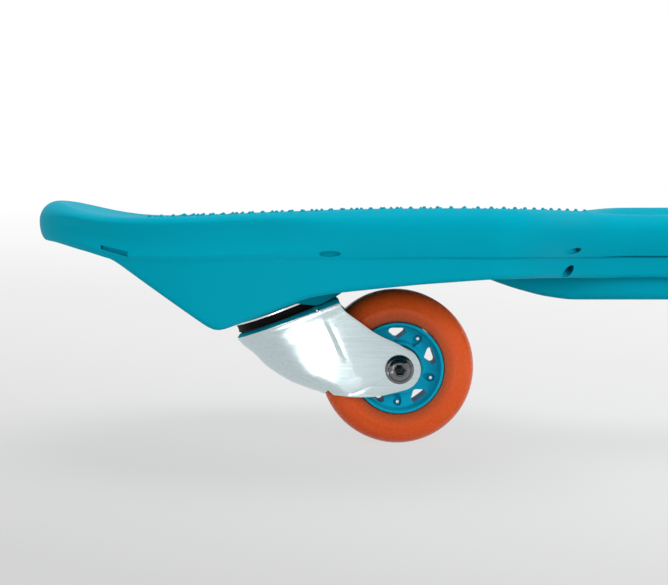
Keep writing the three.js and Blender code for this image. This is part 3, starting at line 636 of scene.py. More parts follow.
def moulded_polypropylene(name, tone, other, roughness):
    """Polypropylene moulded against a lightly blasted steel tool: even colour, a soft waxy sheen."""
    material, tree, place = new_material(name)
    colour, _ = cloudy_tone(tree, place, 28.0, 3.0, tone, other)
    # The blasted grain is about 0.3 mm; it is drawn at about 1 mm so that it shows
    sheen, grain = uneven_sheen(tree, place, 900.0, roughness - 0.04, roughness + 0.05)
    bump = add(tree, "ShaderNodeBump", {"Height": grain, "Strength": 0.10, "Distance": 0.0002})
    return finished(material, {"Base Color": colour, "Roughness": sheen, "Normal": bump.outputs["Normal"],
                               "IOR": 1.49, "Specular IOR Level": 0.015})


def dress(piece, material):
    """Gives a piece or a carried-over solid its one material."""
    piece.data.materials.clear()
    piece.data.materials.append(material)


deck_polypropylene = moulded_polypropylene("moulded_turquoise_polypropylene", "#009CB3", "#0096AD", 0.5)
dress(deck, deck_polypropylene)
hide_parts("front_deck", "rear_deck")
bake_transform(deck)


# Grip spikes
# Low spikes moulded in one with the foot plates, in rows that follow the rim; the middle is left smooth.
spike_base, spike_height, spike_pitch, spike_sides = 1.15, 1.15, 5.7, 8
spike_steps = ((1, -0.3), (0.85, 0.3), (0.5, 0.85), (0.2, 1.0))
spike_insets, spikes_end, rim_spikes_start, dish_spikes_start = (10.5, 16.5, 22.5, 28.5, 34.5), 282, 80, 118


def spike_row(inset):
    """The line that a row of spikes stands on, as a closed loop of points on the tread."""
    if inset < rim_shoulder:
        ring = inset_ring(inset, lambda x: tread_z(x, rim_climb(inset)))
    else:
        seat = inset_ring(rim_shoulder, 0)
        share = 1 - (inset - rim_shoulder) / np.hypot(seat[:, 0] - outline[:, 4], seat[:, 1])
        ring = inner_ring(rim_shoulder, share, lambda x: tread_z(x, dish_climb(share)))
    return np.concatenate([ring, ring[:1]])


def spike_field(name, side):
    """All the spikes of one foot plate in one mesh."""
    verts, faces = [], []
    for row, inset in enumerate(spike_insets):
        loop = spike_row(inset)
        step_x, step_y = np.abs(np.diff(loop[:, :2], axis=0).T)
        # Steps across the board count less round the shoulder, so that the pitch holds along the board
        step_y = step_y * np.where(np.abs(loop[1:, 0]) < shoulder_end, 0.3, 1)
        run = np.concatenate([[0], np.cumsum(np.hypot(step_x, step_y))])
        for s in np.arange(spike_pitch / 2 * (row % 2), run[-1], spike_pitch):
            x, y, z = (np.interp(s, run, loop[:, k]) for k in range(3))
            if not (dish_spikes_start if row else rim_spikes_start) < side * x < spikes_end:
                continue
            at = len(verts)
            for share, up in spike_steps:
                for a in 2 * math.pi * np.arange(spike_sides) / spike_sides:
                    r = spike_base * share
                    verts.append((x + r * math.cos(a), y + r * math.sin(a), z + spike_height * up))
            for i in range(len(spike_steps) - 1):
                for k in range(spike_sides):
                    p, q = at + i * spike_sides + k, at + i * spike_sides + (k + 1) % spike_sides
                    faces.append((p, q, q + spike_sides, p + spike_sides))
            faces.append(tuple(range(len(verts) - spike_sides, len(verts))))
            faces.append(tuple(range(at, at + spike_sides))[::-1])
    return link_mesh(name, verts, faces, 60)


for end, side in (("front", -1), ("rear", 1)):
    spikes = spike_field(f"{end}_grip_spikes", side)
    dress(spikes, deck_polypropylene)
    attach(spikes, f"{end}_deck")


# Mount plate and its screws
# A pressed and zinc-plated steel disc, screwed up against the deck's sloping boss by four countersunk screws.
def plated_steel(name, tint, dark, roughness, streak_axis):
    """Bright zinc over pressed steel, brushed along its length: long soft streaks and a broad sheen."""
    material, tree, place = new_material(name)
    # Brush marks are about 0.1 mm apart; they are drawn at about 0.7 mm so that they show
    stretch = [1400.0, 1400.0, 1400.0]
    stretch[streak_axis] = 40.0
    lay = add(tree, "ShaderNodeMapping", {"Vector": place, "Scale": stretch,
                                          "Rotation": (0, incline if streak_axis == 0 else 0, 0)})
    colour, streak = cloudy_tone(tree, lay.outputs["Vector"], 1.0, 4.0, dark, tint)
    sheen, _ = uneven_sheen(tree, place, 60.0, roughness - 0.06, roughness + 0.06)
    bump = add(tree, "ShaderNodeBump", {"Height": streak, "Strength": 0.12, "Distance": 0.0001})
    return finished(material, {"Base Color": colour, "Metallic": 1.0, "Roughness": sheen,
                               "Normal": bump.outputs["Normal"]})


brushed_zinc = plated_steel("zinc_plated_brushed_steel", "#D8E7EA", "#BCCBCE", 0.23, 0)
plain_zinc = plated_steel("zinc_plated_pressed_steel", "#EEF2F3", "#DCE1E3", 0.30, 2)


def black_chrome(name):
    """Cold-forged steel under black chrome: dark, mirror-like, with a little clouding."""
    material, tree, place = new_material(name)
    colour, _ = cloudy_tone(tree, place, 300.0, 2.0, "#6C6F72", "#7B7C7D")
    sheen, _ = uneven_sheen(tree, place, 300.0, 0.12, 0.24)
    return finished(material, {"Base Color": colour, "Metallic": 1.0, "Roughness": sheen})


dark_steel = black_chrome("black_chromed_forged_steel")


def settle(piece, material, slot, body, *nodes):
    """Gives a piece its material, the body it rides on and the solids it stands for; the slot argument is not
    used.
    """
    dress(piece, material)
    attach(piece, body)
    if nodes:
        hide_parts(*nodes)


def hex_prism(name, flats, low, high, place):
    """A hexagon prism of a given width across its flats."""
    return rod(name, flats / 2 / math.cos(math.pi / 6), low, high, 6, place)


plate_radius, plate_thick, seat_gap = 26.2, 1.3, 0.3
for end in ("front", "rear"):
    base = caster_frame(end)
    low, high = -seat_gap - plate_thick, -seat_gap
    plate = turned(f"{end}_mount_plate_disc", [
        (5.3, low + 0.2), (5.5, low), (plate_radius - 0.5, low), (plate_radius - 0.15, low + 0.12),
        (plate_radius, low + 0.4), (plate_radius, high - 0.4), (plate_radius - 0.3, high), (5.3, high)],
        96, base)
    sink = [(0, low - 5), (4.1, low - 5), (4.1, low), (2.7, high), (2.7, high + 5), (0, high + 5)]
    sinks = [turned("sink", sink, 24, moved(base, x, y)) for x, y in screw_spots]
    cut(plate, joined(sinks))
    shade(plate)
    settle(plate, plain_zinc, "plated_steel", f"{end}_deck", f"{end}_mount_plate")
    for i, (x, y) in enumerate(screw_spots):
        spot = moved(base, x, y)
        screw = turned(f"{end}_countersunk_screw_{i + 1}", [
            (0, low), (3.5, low), (3.8, low + 0.25), (2.4, -0.3), (2.4, 13.6), (0, 16)], 24, spot)
        cut(screw, hex_prism("socket", 2.6, low - 5, low + 1.2, spot))
        shade(screw)
        settle(screw, dark_steel, "dark_steel", f"{end}_deck", f"{end}_mount_screw_{i + 1}")


# Swivel bearing and dust seal
# A black rubber ring hides the upper ball race between the plate and the fork. The kingpin and its race cup
# and nut are closed in by the fork; the balls run in their cages.
def moulded_rubber(name):
    """Black nitrile rubber from a plain steel mould: matt, with a faint bloom."""
    material, tree, place = new_material(name)
    colour, _ = cloudy_tone(tree, place, 220.0, 3.0, "#060606", "#0C0C0D")
    return finished(material, {"Base Color": colour, "Roughness": 0.6, "IOR": 1.52,
                               "Specular IOR Level": 0.06})


def ground_steel(name):
    """Hardened bearing steel, ground and polished: bright, with a finely clouded shine."""
    material, tree, place = new_material(name)
    sheen, _ = uneven_sheen(tree, place, 700.0, 0.10, 0.22)
    return finished(material, {"Base Color": linear("#D2D4D6"), "Metallic": 1.0, "Roughness": sheen})


rubber = moulded_rubber("moulded_nitrile_rubber")
bearing_steel = ground_steel("ground_bearing_steel")
bead_drop = 5.8
for end in ("front", "rear"):
    base = caster_frame(end)
    high, low = -seat_gap - plate_thick - 0.2, -bead_drop + 0.2
    seal = turned(f"{end}_seal_ring", [
        (23.2, low), (25.0, low), (25.4, low + 0.4), (25.1, low + 1.1), (25.1, high - 1.1),
        (25.4, high - 0.4), (25.0, high), (23.2, high)], 96, base)
    settle(seal, rubber, "seal_rubber", f"{end}_deck", f"{end}_dust_seal")
    for node, material in (("kingpin", dark_steel), ("swivel_race_cup", plain_zinc),
                           ("kingpin_nut", plain_zinc), ("upper_swivel_balls", bearing_steel),
                           ("lower_swivel_balls", bearing_steel)):
        dress(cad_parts[f"{end}_{node}"], material)


# Fork
# One steel pressing, zinc plated and brushed: a round crown that folds down over the nose into two flat legs,
# which rake back to the axle.
steel = 2.5
axle_drop, trail = 49.1, 41.9
leg_outer = 17.0
leg_round = 10.4
crown_rear, crown_drop, bead_round = 26.5, 7.5, 3.0
# The crown's roll carries a painted reflection of the deck's turquoise underside, down to this far below its
# bead and out from this radius
reflection_drop, reflection_inner = 2.2, 16.0
well_half, axle_hole, pin_hole = 13.3, 4.3, 5.6
nick_x, nick_y, nick_z, nick_radius = 14.7, 19.0, -7.2, 1.5
# Down from the mount: how far forward the nose reaches, where the sides crease flat, the half width and how
# square the wrap is
fork_drops = (5.8, 8.8, 12.3, 18.7, 25.6, 31.5, 37.7, 44.6, 46.8, 62.8)
fork_noses = (-27.3, -27.3, -25.9, -22.0, -19.1, -15.1, -10.0, -1.9, 1.2, 11.9)
fork_bends = (15.6, 15.9, 16.8, 18.1, 18.8, 19.0, 20.2, 22.4, 22.8, 23.4)
fork_sides = (20.0, 19.6, 18.9, 18.3, 17.8, 17.4, 17.1, 17.0, 17.0, 17.0)
fork_powers = (2.0, 2.0, 2.0, 2.0, 2.1, 2.3, 2.7, 3.1, 3.2, 3.2)
# The wrap's widest line lies behind the crease, so the two meet at a slight angle
crease_leads = (0, 6, 14, 20, 20, 18, 13, 8, 6, 4)
# The legs' edges in side view, as (back, down) from the swivel axis at the mount
rear_points = [(26.5, 9.7), (26.7, 11.6), (29.0, 15.8), (32.4, 20.9), (36.0, 26.6), (39.2, 30.6),
               (42.5, 34.1), (46.2, 37.9)]
lower_points = [(1.2, 46.6), (4.3, 48.6), (9.0, 50.4), (16.8, 54.0), (26.9, 57.4), (36.9, 59.0), (41.9, 59.5)]


def along_curve(points, count):
    """Even steps along a smooth curve through the points."""
    pts = np.array([points[0]] + list(points) + [points[-1]], dtype=float)
    fine = []
    for a, b, c, d in zip(pts, pts[1:], pts[2:], pts[3:]):
        for t in np.linspace(0, 1, 12, endpoint=False):
            fine.append(0.5 * (2 * b + (c - a) * t + (2 * a - 5 * b + 4 * c - d) * t * t
                               + (3 * b - a - 3 * c + d) * t ** 3))
    fine = np.array(fine + [pts[-1]])
    run = np.concatenate([[0], np.cumsum(np.hypot(*np.diff(fine, axis=0).T))])
    even = np.linspace(0, run[-1], count)
    return np.stack([np.interp(even, run, fine[:, k]) for k in (0, 1)], axis=1)


def fork_half_width(x, drop):
    """Half width of the pressing at a place in its side view, with a soft ridge and groove at the crease."""
    nose, bend, side, power, lead = (np.interp(drop, fork_drops, row) for row in
                                     (fork_noses, fork_bends, fork_sides, fork_powers, crease_leads))
    wide = bend + lead
    share = lambda place: np.clip((wide - place) / (wide - nose), 0, 1)
    width = side * ((1 - share(np.minimum(x, bend)) ** power) / (1 - share(bend) ** power)) ** (1 / power)
    depth = np.clip((drop - 12) / 7, 0, 1) * np.clip((38 - drop) / 12, 0, 1)
    ridge, groove = 0.3 * np.exp(-((x - bend + 2.4) / 1.6) ** 2), 0.4 * np.exp(-((x - bend) / 1.1) ** 2)
    return width + depth * (ridge - groove)


def fork_row(rear, front_x, front_drop, wraps, flat=7, crease=16, curved=14):
    """One row of the pressing's right half, from its rear edge forward: points (x, y, down)."""
    nose, bend, power = (np.interp(front_drop, fork_drops, row)
                         for row in (fork_noses, fork_bends, fork_powers))
    if wraps:
        front_x = nose
    turn = bend - 5
    if front_x < turn - 3:
        last = math.acos(min(((turn - front_x) / (turn - nose)) ** (power / 2), 1))
        curve = turn - (turn - nose) * np.cos(np.linspace(math.pi / 2, last, curved + 1)) ** (2 / power)
        xs = np.concatenate([np.linspace(rear[0], bend + 3, flat, endpoint=False),
                             np.linspace(bend + 3, turn, crease, endpoint=False), curve])
    else:
        xs = np.linspace(rear[0], front_x, flat + crease + curved + 1)
    xs[-1] = front_x
    downs = rear[1] + (front_drop - rear[1]) * (xs - rear[0]) / (front_x - rear[0])
    ys = fork_half_width(xs, downs)
    if wraps:
        ys[-1] = 0
    return np.stack([xs, -ys, downs], axis=1)


def fork_pressing(name, base):
    """The whole pressing: rows from the crown down the wrapped nose and along the legs, given its thickness,
    then cut for the wheel, the axle and the kingpin."""
    wrapped, turning, legs = 22, 10, 16
    arc = [(trail + leg_round * math.cos(a), axle_drop + leg_round * math.sin(a))
           for a in np.radians(np.arange(-45, 91, 9))]
    rear = along_curve(rear_points + arc, wrapped + turning + legs)
    nose, nose_drop = lower_points[0]
    drops = np.linspace(bead_drop + bead_round, nose_drop, wrapped)
    rows = [fork_row(r, 0, d, True) for r, d in zip(rear, drops)]
    bend, power = 22.8, 3.2
    ends = [bend - (bend - nose) * math.cos(a) ** (2 / power)
            for a in np.radians(np.linspace(8, 62, turning))]
    ends += list(np.linspace(ends[-1], trail, legs + 1)[1:])
    lower = along_curve(lower_points, 60).T
    for r, x in zip(rear[wrapped:], ends):
        x = min(x, r[0] - 0.05)
        rows.append(fork_row(r, x, float(np.interp(x, *lower)), False))
    # The crown: flat inside a raised bead, which rolls over into the sides
    edge = rows[0]
    roof = [(share, crown_drop) for share in (0, 0.25, 0.5, 0.72)]
    roof += [(0.76, crown_drop - 0.3), (0.80, bead_drop + 0.5), (0.84, bead_drop + 0.06)]
    roof += [(1 - bead_round * (1 - math.sin(a)) / 26, bead_drop + bead_round * (1 - math.cos(a)))
             for a in np.radians((0, 15, 30, 45, 60, 75))]
    rows = [np.stack([crown_rear + (edge[:, 0] - crown_rear) * share, edge[:, 1] * share,
                      0 * edge[:, 0] + down], axis=1) for share, down in roof] + rows
    count = len(rows[0])
    verts, faces = [], []
    for side in (1, -1):
        at = len(verts)
        for row in rows:
            verts += [(x, side * y, -down) for x, y, down in row]
        for i in range(len(rows) - 1):
            for k in range(count - 1):
                a = at + i * count + k
                quad = (a, a + 1, a + 1 + count, a + count)
                faces.append(quad if side > 0 else quad[::-1])
    piece = link_mesh(name, verts, faces)
    sheet = piece.modifiers.new("sheet", "SOLIDIFY")
    sheet.thickness = steel * mm
    sheet.offset = -1
    sheet.use_even_offset = True
    rim = piece.modifiers.new("rim", "BEVEL")
    rim.width = 0.8 * mm
    rim.segments = 3
    rim.limit_method = "ANGLE"
    rim.angle_limit = math.radians(50)
    applied(piece)
    axle = Matrix.Translation((trail * mm, 0, -axle_drop * mm)) @ Matrix.Rotation(-math.pi / 2, 4, "X")
    # The wheel well follows the tyre's rounded shoulders
    shoulder = [(36.2, well_half), (37.6, 11.6), (38.8, 8.8), (39.4, 6)]
    well = [(0, -well_half)] + [(r, -y) for r, y in shoulder] + shoulder[::-1] + [(0, well_half)]
    cut(piece, turned("wheel_well", well, 128, axle))
    cut(piece, rod("axle_hole", axle_hole, -30, 30, 48, axle))
    cut(piece, rod("pin_hole", pin_hole, -20, 0, 48, Matrix()))
    # A small relief nick on each side, where the crown's roll gives way to the flat plate
    for side in (-1, 1):
        nick = Matrix.Translation(Vector((nick_x, side * nick_y, nick_z)) * mm)
        low, high = sorted((side * 0.9, -side * 6))
        cut(piece, rod("nick", nick_radius, low, high, 24, nick @ Matrix.Rotation(math.pi / 2, 4, "X")))
    piece.data.transform(base)
    shade(piece, 38)
    return piece


for end in ("front", "rear"):
    fork = fork_pressing(f"{end}_fork_pressing", caster_frame(end))
    settle(fork, brushed_zinc, "plated_steel", f"{end}_fork", f"{end}_fork")
    # Painted reflection: the faces of the crown's rolled shoulder take the deck's turquoise, standing in for
    # the deck's underside mirrored in the polished roll; the brushing starts below it
    fork.data.materials.append(deck_polypropylene)
    to_mount = caster_frame(end).inverted()
    for face in fork.data.polygons:
        spot = to_mount @ face.center
        in_painted_reflection = spot.z > -(bead_drop + reflection_drop) * mm and spot.xy.length > reflection_inner * mm
        face.material_index = int(in_painted_reflection)


# Axle bolt, nut and spacers
# A black-chromed M8 button-head bolt with a hex socket, through the legs and both bearings to a lock nut.
wheel_radius = 38.0


def axle_frame(end):
    """The axle's frame: its origin at the wheel's middle and Z along the axle."""
    x = mount_x[end] + trail * math.cos(incline) + axle_drop * math.sin(incline)
    return Matrix.Translation((x * mm, 0, wheel_radius * mm)) @ Matrix.Rotation(-math.pi / 2, 4, "X")


seat_play = 0.3
dome_radius, dome_edge = 9.0, 5.4
shank, socket_flats, nut_flats, nut_high, past_nut = 4.0, 5.0, 13, 6.4, 8.6
for end in ("front", "rear"):
    axle = axle_frame(end)
    face = -leg_outer - seat_play
    tip = leg_outer + past_nut
    # A flat outer ring, a fine groove, then a dome down to the socket's chamfer
    dome_base = face - 1.5 + math.sqrt(dome_radius ** 2 - dome_edge ** 2)
    dome = [(r, dome_base - math.sqrt(dome_radius ** 2 - r * r))
            for r in (dome_edge, 5.1, 4.7, 4.2, 3.7, 3.35)]
    top = dome[-1][1]
    bolt = turned(f"{end}_button_head_bolt", [(0, top + 0.3), (3.0, top + 0.3), (3.2, top)] + dome[::-1] + [
        (5.5, face - 1.35), (5.65, face - 1.6), (6.5, face - 1.25), (6.85, face - 0.95), (7, face - 0.6),
        (7, face - 0.25), (6.8, face), (shank, face), (shank, tip), (3.5, tip + 1), (0, tip + 1)],
        96, axle, 40)
    corner = socket_flats / 2 / math.cos(math.pi / 6)
    socket = [(0, top - 5), (corner, top - 5), (corner, top + 2.2), (0, top + 3.9)]
    cut(bolt, turned("socket", socket, 6, axle))
    shade(bolt, 28)
    settle(bolt, dark_steel, "dark_steel", f"{end}_fork", f"{end}_axle_bolt")
    low = leg_outer + seat_play
    corner = nut_flats / 2 / math.cos(math.pi / 6)
    nut = hex_prism("nut", nut_flats, low, low + nut_high, axle)
    nut.name = f"{end}_lock_nut"
    chamfer = [(0, low - 1), (corner - 0.7, low - 1), (corner - 0.5, low), (corner + 0.4, low + 0.9),
               (corner + 0.4, low + nut_high - 1), (corner - 0.8, low + nut_high), (0, low + nut_high)]
    cut(nut, turned("chamfer", chamfer, 64, axle), "INTERSECT")
    collar = [(4.3, low + 5), (5.6, low + 5), (5.6, low + 7.4), (5.1, low + 8), (4.3, low + 8)]
    cut(nut, turned("collar", collar, 48, axle), "UNION")
    cut(nut, rod("bore", 4.25, low - 5, low + 12, 48, axle))
    shade(nut, 30)
    settle(nut, plain_zinc, "dark_steel", f"{end}_fork", f"{end}_axle_nut")
    for side, sign in (("right", -1), ("left", 1)):
        near, far = sign * 11.3, sign * 14.2
        round_off = sign * 0.3
        spacer = turned(f"{end}_{side}_axle_washer", [
            (4.3, near), (6.2, near), (6.5, near + round_off), (6.5, far - round_off), (6.2, far),
            (4.3, far)], 48, axle)
        settle(spacer, plain_zinc, "plated_steel", f"{end}_fork", f"{end}_axle_spacer_{side}")
    dress(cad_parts[f"{end}_bearing_spacer"], plain_zinc)


# Wheel bearings
# Two 22 x 8 x 7 mm shielded ball bearings, pressed into the hub from its two sides.
bearing_face, bearing_back = 11.0, 4.0
for end in ("front", "rear"):
    axle = axle_frame(end)
    for side, sign in (("right", -1), ("left", 1)):
        a, b = sign * bearing_back, sign * bearing_face
        edge = sign * 0.4
        outer = turned(f"{end}_{side}_outer_race", [
            (9.7, a), (10.6, a), (11, a + edge), (11, b - edge), (10.6, b), (9.9, b), (9.7, b - edge / 2)],
            96, axle)
        settle(outer, bearing_steel, "bearing_steel", f"{end}_wheel", f"{end}_bearing_{side}_outer_ring")
        inner = turned(f"{end}_{side}_inner_race", [
            (4.3, a), (5.6, a), (5.9, a + edge), (5.9, b - edge), (5.6, b), (4.6, b), (4.3, b - edge)],
            64, axle)
        settle(inner, bearing_steel, "bearing_steel", f"{end}_fork", f"{end}_bearing_{side}_inner_ring")
        high, low, dished = b - sign * 0.3, b - sign * 0.8, b - sign * 0.45
        shield = turned(f"{end}_{side}_race_shield", [
            (6.5, low), (9.4, low), (9.4, high), (9.0, high), (8.7, dished), (6.9, dished), (6.5, dished)],
            96, axle)
        settle(shield, plain_zinc, "plated_steel", f"{end}_wheel", f"{end}_bearing_{side}_shield")
        dress(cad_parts[f"{end}_bearing_{side}_balls"], bearing_steel)


# Hub
# Injection-moulded core in the deck's colour: a rim and a bearing boss joined by a web with five rounded
# windows; between them are shallow round recesses, each with a small ejector pin mark.
hub_polypropylene = moulded_polypropylene("moulded_turquoise_core", "#14B0D0", "#0EA5C5", 0.42)
window_half, window_outer, window_inner, window_round, pin_radius = 7.4, 19.3, 13.6, 1.6, 17.2
hub_half = [
    (9.2, 3.7), (11.3, 3.7), (11.3, 11.3), (12.6, 11.3), (12.9, 11.0), (13.1, 8.0), (13.5, 7.3), (14.1, 7.0),
    (19.2, 7.0), (19.8, 7.3), (20.2, 8.0), (20.7, 11.4), (21.0, 11.9), (21.5, 12.0), (22.0, 12.0),
    (22.3, 11.6)]


def hub_window(angle, axle):
    """A rounded triangle along the axle with its flat side outwards."""
    corners = [Vector(p) for p in ((0, window_inner), (window_half, window_outer),
                                   (-window_half, window_outer))]
    r, points = window_round, []
    for i, corner in enumerate(corners):
        before, after = corners[i - 1] - corner, corners[(i + 1) % 3] - corner
        half = before.angle(after) / 2
        centre = corner + (before.normalized() + after.normalized()).normalized() * (r / math.sin(half))
        start = math.atan2(*(corner + before.normalized() * r / math.tan(half) - centre).yx)
        stop = math.atan2(*(corner + after.normalized() * r / math.tan(half) - centre).yx)
        sweep = (stop - start + math.pi) % (2 * math.pi) - math.pi
        points += [centre + Vector((math.cos(start + sweep * t), math.sin(start + sweep * t))) * r
                   for t in np.linspace(0, 1, 7)]
    rings = [np.array([(p.x, p.y, z) for p in points]) for z in (-15, 15)]
    tool = skinned("window", rings, True)
    tool.data.transform(axle @ Matrix.Rotation(angle, 4, "Z"))
    return tool


def pin_recess(spot, sign):
    """A teardrop dish from the pin's mark toward the hub's middle, deepest at the pin."""
    rings = []
    for height, r in ((4.9, 1.75), (5.4, 2.03), (8.5, 2.07), (13, 2.09)):
        ring = []
        for a in np.linspace(0, 2 * math.pi, 28, endpoint=False):
            x, y = r * math.cos(a), r * math.sin(a)
            if y < 0:
                x, y = x * (1 - 0.45 * (-y / r) ** 2), y * 2.3
            ring.append((x, y, sign * height))
        rings.append(np.array(ring))
    tool = skinned("recess", rings, True)
    tool.data.transform(spot)
    return tool


for end in ("front", "rear"):
    axle = axle_frame(end) @ Matrix.Rotation(math.pi, 4, "Z")
    hub = turned(f"{end}_wheel_core", hub_half + [(r, -z) for r, z in hub_half][::-1], 128, axle)
    tools = [hub_window(math.radians(72 * i), axle) for i in range(5)]
    spots = [moved(axle @ Matrix.Rotation(math.radians(36 + 72 * i), 4, "Z"), 0, pin_radius)
             for i in range(5)]
    tools += [pin_recess(spot, sign) for spot in spots for sign in (-1, 1)]
    cut(hub, joined(tools))
    shade(hub, 35)
    settle(hub, hub_polypropylene, "hub_polymer", f"{end}_wheel", f"{end}_hub")
    pin = [(0, 4.5), (1.05, 4.5), (1.05, 6.4), (0.75, 6.7), (0, 6.75)]
    marks = joined([turned("pin", [(r, sign * z) for r, z in pin], 20, spot)
                    for spot in spots for sign in (-1, 1)])
    marks.name = f"{end}_core_pins"
    shade(marks, 40)
    settle(marks, plain_zinc, "plated_steel", f"{end}_wheel")


# Tyre
# Translucent orange urethane, cast round the core: a round shoulder to a narrow flat tread, and on each side
# a low step where the mould's insert ended.
def cast_urethane(name):
    """Cast polyurethane: glossy, faintly see-through, darker and browner toward the core, partly where the
    cast is thin over it and partly painted shade where the tyre meets the core.
    """
    material, tree, place = new_material(name)
    colour, _ = cloudy_tone(tree, place, 55.0, 3.0, "#F0601F", "#E6581B")
    # Painted shade: the colour darkens and browns toward the core, by a weight stored on the tyre's mesh
    core_shade = add(tree, "ShaderNodeAttribute", attribute_name="painted_core_shade")
    shaded_colour = add(tree, "ShaderNodeMix", {"Factor": core_shade.outputs["Fac"], "A": colour, "B": linear("#A84A22")},
               data_type="RGBA")
    sheen, _ = uneven_sheen(tree, place, 600.0, 0.22, 0.32)
    return finished(material, {
        "Base Color": shaded_colour.outputs["Result"], "Roughness": sheen, "IOR": 1.5, "Specular IOR Level": 0.25,
        "Subsurface Weight": 0.3, "Subsurface Radius": (1.0, 0.3, 0.08), "Subsurface Scale": 0.01})


urethane = cast_urethane("cast_orange_urethane")
shoulder_round, shoulder_wide, tread_half = 8.4, 8.6, 3
tyre_half = [(22.6, 10.9), (22.9, 11.3), (23.5, 11.6), (24.5, 11.65), (26.2, 11.6), (27.6, 11.65),
             (28.3, 11.9), (28.8, 12.0), (29.5, 11.9)]
tyre_half += [(wheel_radius - shoulder_round * (1 - math.sin(a)), tread_half + shoulder_wide * math.cos(a))
              for a in np.radians(np.arange(6, 91, 6))]
for end in ("front", "rear"):
    axle = axle_frame(end)
    tyre = turned(f"{end}_cast_tyre", tyre_half + [(r, -z) for r, z in tyre_half][::-1], 160, axle, 25)
    # Darker toward the core, from 1 at the core to 0 where the sidewall's step is: partly the thin cast over
    # the core's flange, partly painted shade where the tyre meets the core
    middle = axle.translation
    core_shade = tyre.data.attributes.new("painted_core_shade", "FLOAT", "POINT")
    for point, value in zip(tyre.data.vertices, core_shade.data):
        radius = 1000 * math.hypot(point.co.x - middle.x, point.co.z - middle.z)
        value.value = min(max((28.4 - radius) / 5.6, 0), 1) ** 1.4
    settle(tyre, urethane, "urethane", f"{end}_wheel", f"{end}_tyre")


# Floor and backdrop
# A plain pale sweep, matt, that lightens into the white behind it; it keeps the board's shadow.
def shown_to_eye(tree, ray):
    """1 on what the camera sees, itself or in metal and glass, and 0 on light that falls on the board."""
    seen = add(tree, "ShaderNodeMath", {0: ray.outputs["Is Camera Ray"], 1: ray.outputs["Is Glossy Ray"]},
               operation="MAXIMUM")
    through = add(tree, "ShaderNodeMath", {0: seen.outputs[0], 1: ray.outputs["Is Transmission Ray"]},
                  operation="MAXIMUM")
    return through.outputs[0]


floor_tones = ((0.0, "#FFFFFF"), (0.02, "#FBFBFB"), (0.09, "#F2F2F2"), (0.2, "#E8E8E8"), (0.3, "#DBDBDB"),
               (0.4, "#CECECE"))


def pale_floor():
    """A matt painted sweep, shown at its own tone and shaded by its share of the studio light."""
    material, tree, place = new_material("matt_pale_floor")
    axes = add(tree, "ShaderNodeSeparateXYZ", {0: place})
    # The tone follows one over the distance from a line 0.6 m before the board, so that it ends in white
    behind = add(tree, "ShaderNodeMath", {0: axes.outputs["Y"], 1: 0.6}, operation="ADD")
    distance = add(tree, "ShaderNodeMath", {0: behind.outputs[0], 1: 0.35}, operation="MAXIMUM")
    tone = add(tree, "ShaderNodeMath", {0: 0.139, 1: distance.outputs[0]}, operation="DIVIDE")
    # It is a little lighter toward the board's tail, which fades out toward the white behind
    tailward = add(tree, "ShaderNodeMath", {0: axes.outputs["X"], 1: 0.25, 2: 0.056},
                   operation="MULTIPLY_ADD")
    lighter = add(tree, "ShaderNodeMath", {0: tailward.outputs[0], 1: distance.outputs[0]},
                  operation="DIVIDE")
    fade = add(tree, "ShaderNodeMath", {0: tone.outputs[0], 1: 4.3}, operation="MULTIPLY", use_clamp=True)
    faded = add(tree, "ShaderNodeMath", {0: lighter.outputs[0], 1: fade.outputs[0]}, operation="MULTIPLY")
    place_tone = add(tree, "ShaderNodeMath", {0: tone.outputs[0], 1: faded.outputs[0]}, operation="SUBTRACT")
    shades = add(tree, "ShaderNodeValToRGB", {"Fac": place_tone.outputs[0]})
    ramp = shades.color_ramp.elements
    while len(ramp) < len(floor_tones):
        ramp.new(0.5)
    for element, (at, colour) in zip(ramp, floor_tones):
        element.position = at
        element.color = linear(colour)
    ray = add(tree, "ShaderNodeLightPath")
    # Metal shows the floor a little brighter than the camera does
    lift = add(tree, "ShaderNodeMapRange", {"Value": ray.outputs["Is Glossy Ray"], "To Min": 1.0,
                                            "To Max": 1.15})
    glow = add(tree, "ShaderNodeEmission", {"Color": shades.outputs["Color"],
                                            "Strength": lift.outputs["Result"]})
    far = add(tree, "ShaderNodeMapRange", {"Value": tone.outputs[0], "From Min": 0.15, "From Max": 0.03,
                                           "To Min": 0.8, "To Max": 1.0})
    share = add(tree, "ShaderNodeMath", {0: shown_to_eye(tree, ray), 1: far.outputs["Result"]},
                operation="MULTIPLY")
    paint = add(tree, "ShaderNodeBsdfPrincipled", {"Base Color": linear("#DADADA"), "Roughness": 0.9,
                                                   "Specular IOR Level": 0.1})
    blend = add(tree, "ShaderNodeMixShader", {"Fac": share.outputs[0], 1: paint.outputs["BSDF"],
                                              2: glow.outputs["Emission"]})
    add(tree, "ShaderNodeOutputMaterial", {"Surface": blend.outputs["Shader"]})
    return material


floor_half, floor_near, floor_far = 20000, -3000, 40000
floor = link_mesh("studio_floor", [(-floor_half, floor_near, 0), (floor_half, floor_near, 0),
                                   (floor_half, floor_far, 0), (-floor_half, floor_far, 0)], [(0, 1, 2, 3)])
dress(floor, pale_floor())


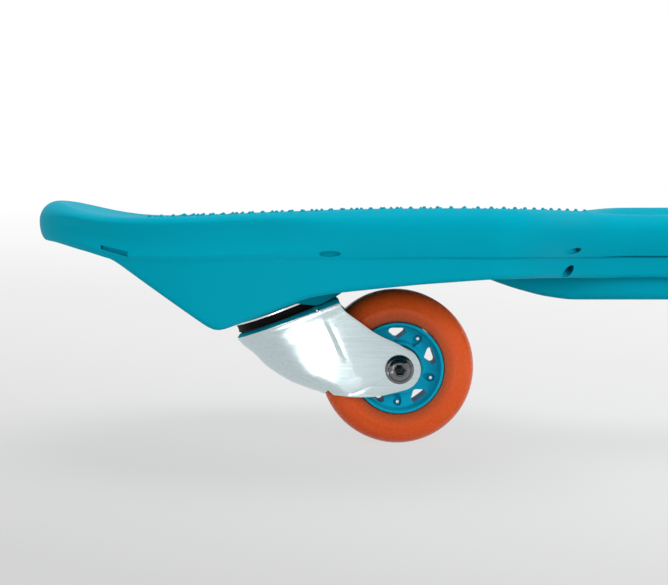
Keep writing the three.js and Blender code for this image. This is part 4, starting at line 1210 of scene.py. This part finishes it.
# Studio light
# A white room, dimmer on the camera's side, with softboxes above, at the right, and low at the left.
world = bpy.data.worlds.new("white_room")
scene.world = world
world.use_nodes = True
tree = world.node_tree
tree.nodes.clear()
axes = add(tree, "ShaderNodeSeparateXYZ", {0: add(tree, "ShaderNodeTexCoord").outputs["Generated"]})
behind = add(tree, "ShaderNodeMath", {0: axes.outputs["Y"], 1: 0.5, 2: 0.85}, operation="MULTIPLY_ADD")
above = add(tree, "ShaderNodeMath", {0: axes.outputs["Z"], 1: 0.4, 2: behind.outputs[0]},
            operation="MULTIPLY_ADD")
level = add(tree, "ShaderNodeClamp", {"Value": above.outputs[0], "Min": 0.72, "Max": 1.0})
room = add(tree, "ShaderNodeBackground", {"Color": (1, 1, 1, 1), "Strength": 0.54})
white = add(tree, "ShaderNodeBackground", {"Color": (1, 1, 1, 1), "Strength": level.outputs[0]})
shown = shown_to_eye(tree, add(tree, "ShaderNodeLightPath"))
both = add(tree, "ShaderNodeMixShader", {"Fac": shown, 1: room.outputs[0], 2: white.outputs[0]})
add(tree, "ShaderNodeOutputWorld", {"Surface": both.outputs[0]})


def lamp(name, place, aim, size, power, lights=True, shines=True):
    """A rectangular area lamp; lights is whether it falls on surfaces, shines whether they mirror it."""
    data = bpy.data.lights.new(name, "AREA")
    data.shape = "RECTANGLE"
    data.size, data.size_y = size
    data.energy = power
    lit = bpy.data.objects.new(name, data)
    scene.collection.objects.link(lit)
    lit.location = place
    lit.rotation_euler = (Vector(aim) - Vector(place)).to_track_quat("-Z", "Y").to_euler()
    lit.visible_camera, lit.visible_diffuse, lit.visible_glossy = False, lights, shines


lamp("key_softbox", (1.25, -1.45, 0.62), (-0.15, 0, 0.07), (1.0, 0.8), 15, shines=False)
lamp("top_softbox", (-0.05, 0.05, 1.5), (-0.1, 0, 0.1), (1.3, 1.0), 14.5)
lamp("left_softbox", (-0.9, -1.3, 0.35), (-0.24, 0, 0.05), (0.5, 0.7), 3)
# White cards on the floor show in the metal and the urethane only
lamp("floor_card", (-0.234, -0.2, 0.004), (-0.234, -0.2, 1), (0.028, 0.26), 0.09, lights=False)
lamp("near_floor_card", (-0.217, -0.29, 0.004), (-0.217, -0.29, 1), (0.062, 0.08), 0.13, lights=False)
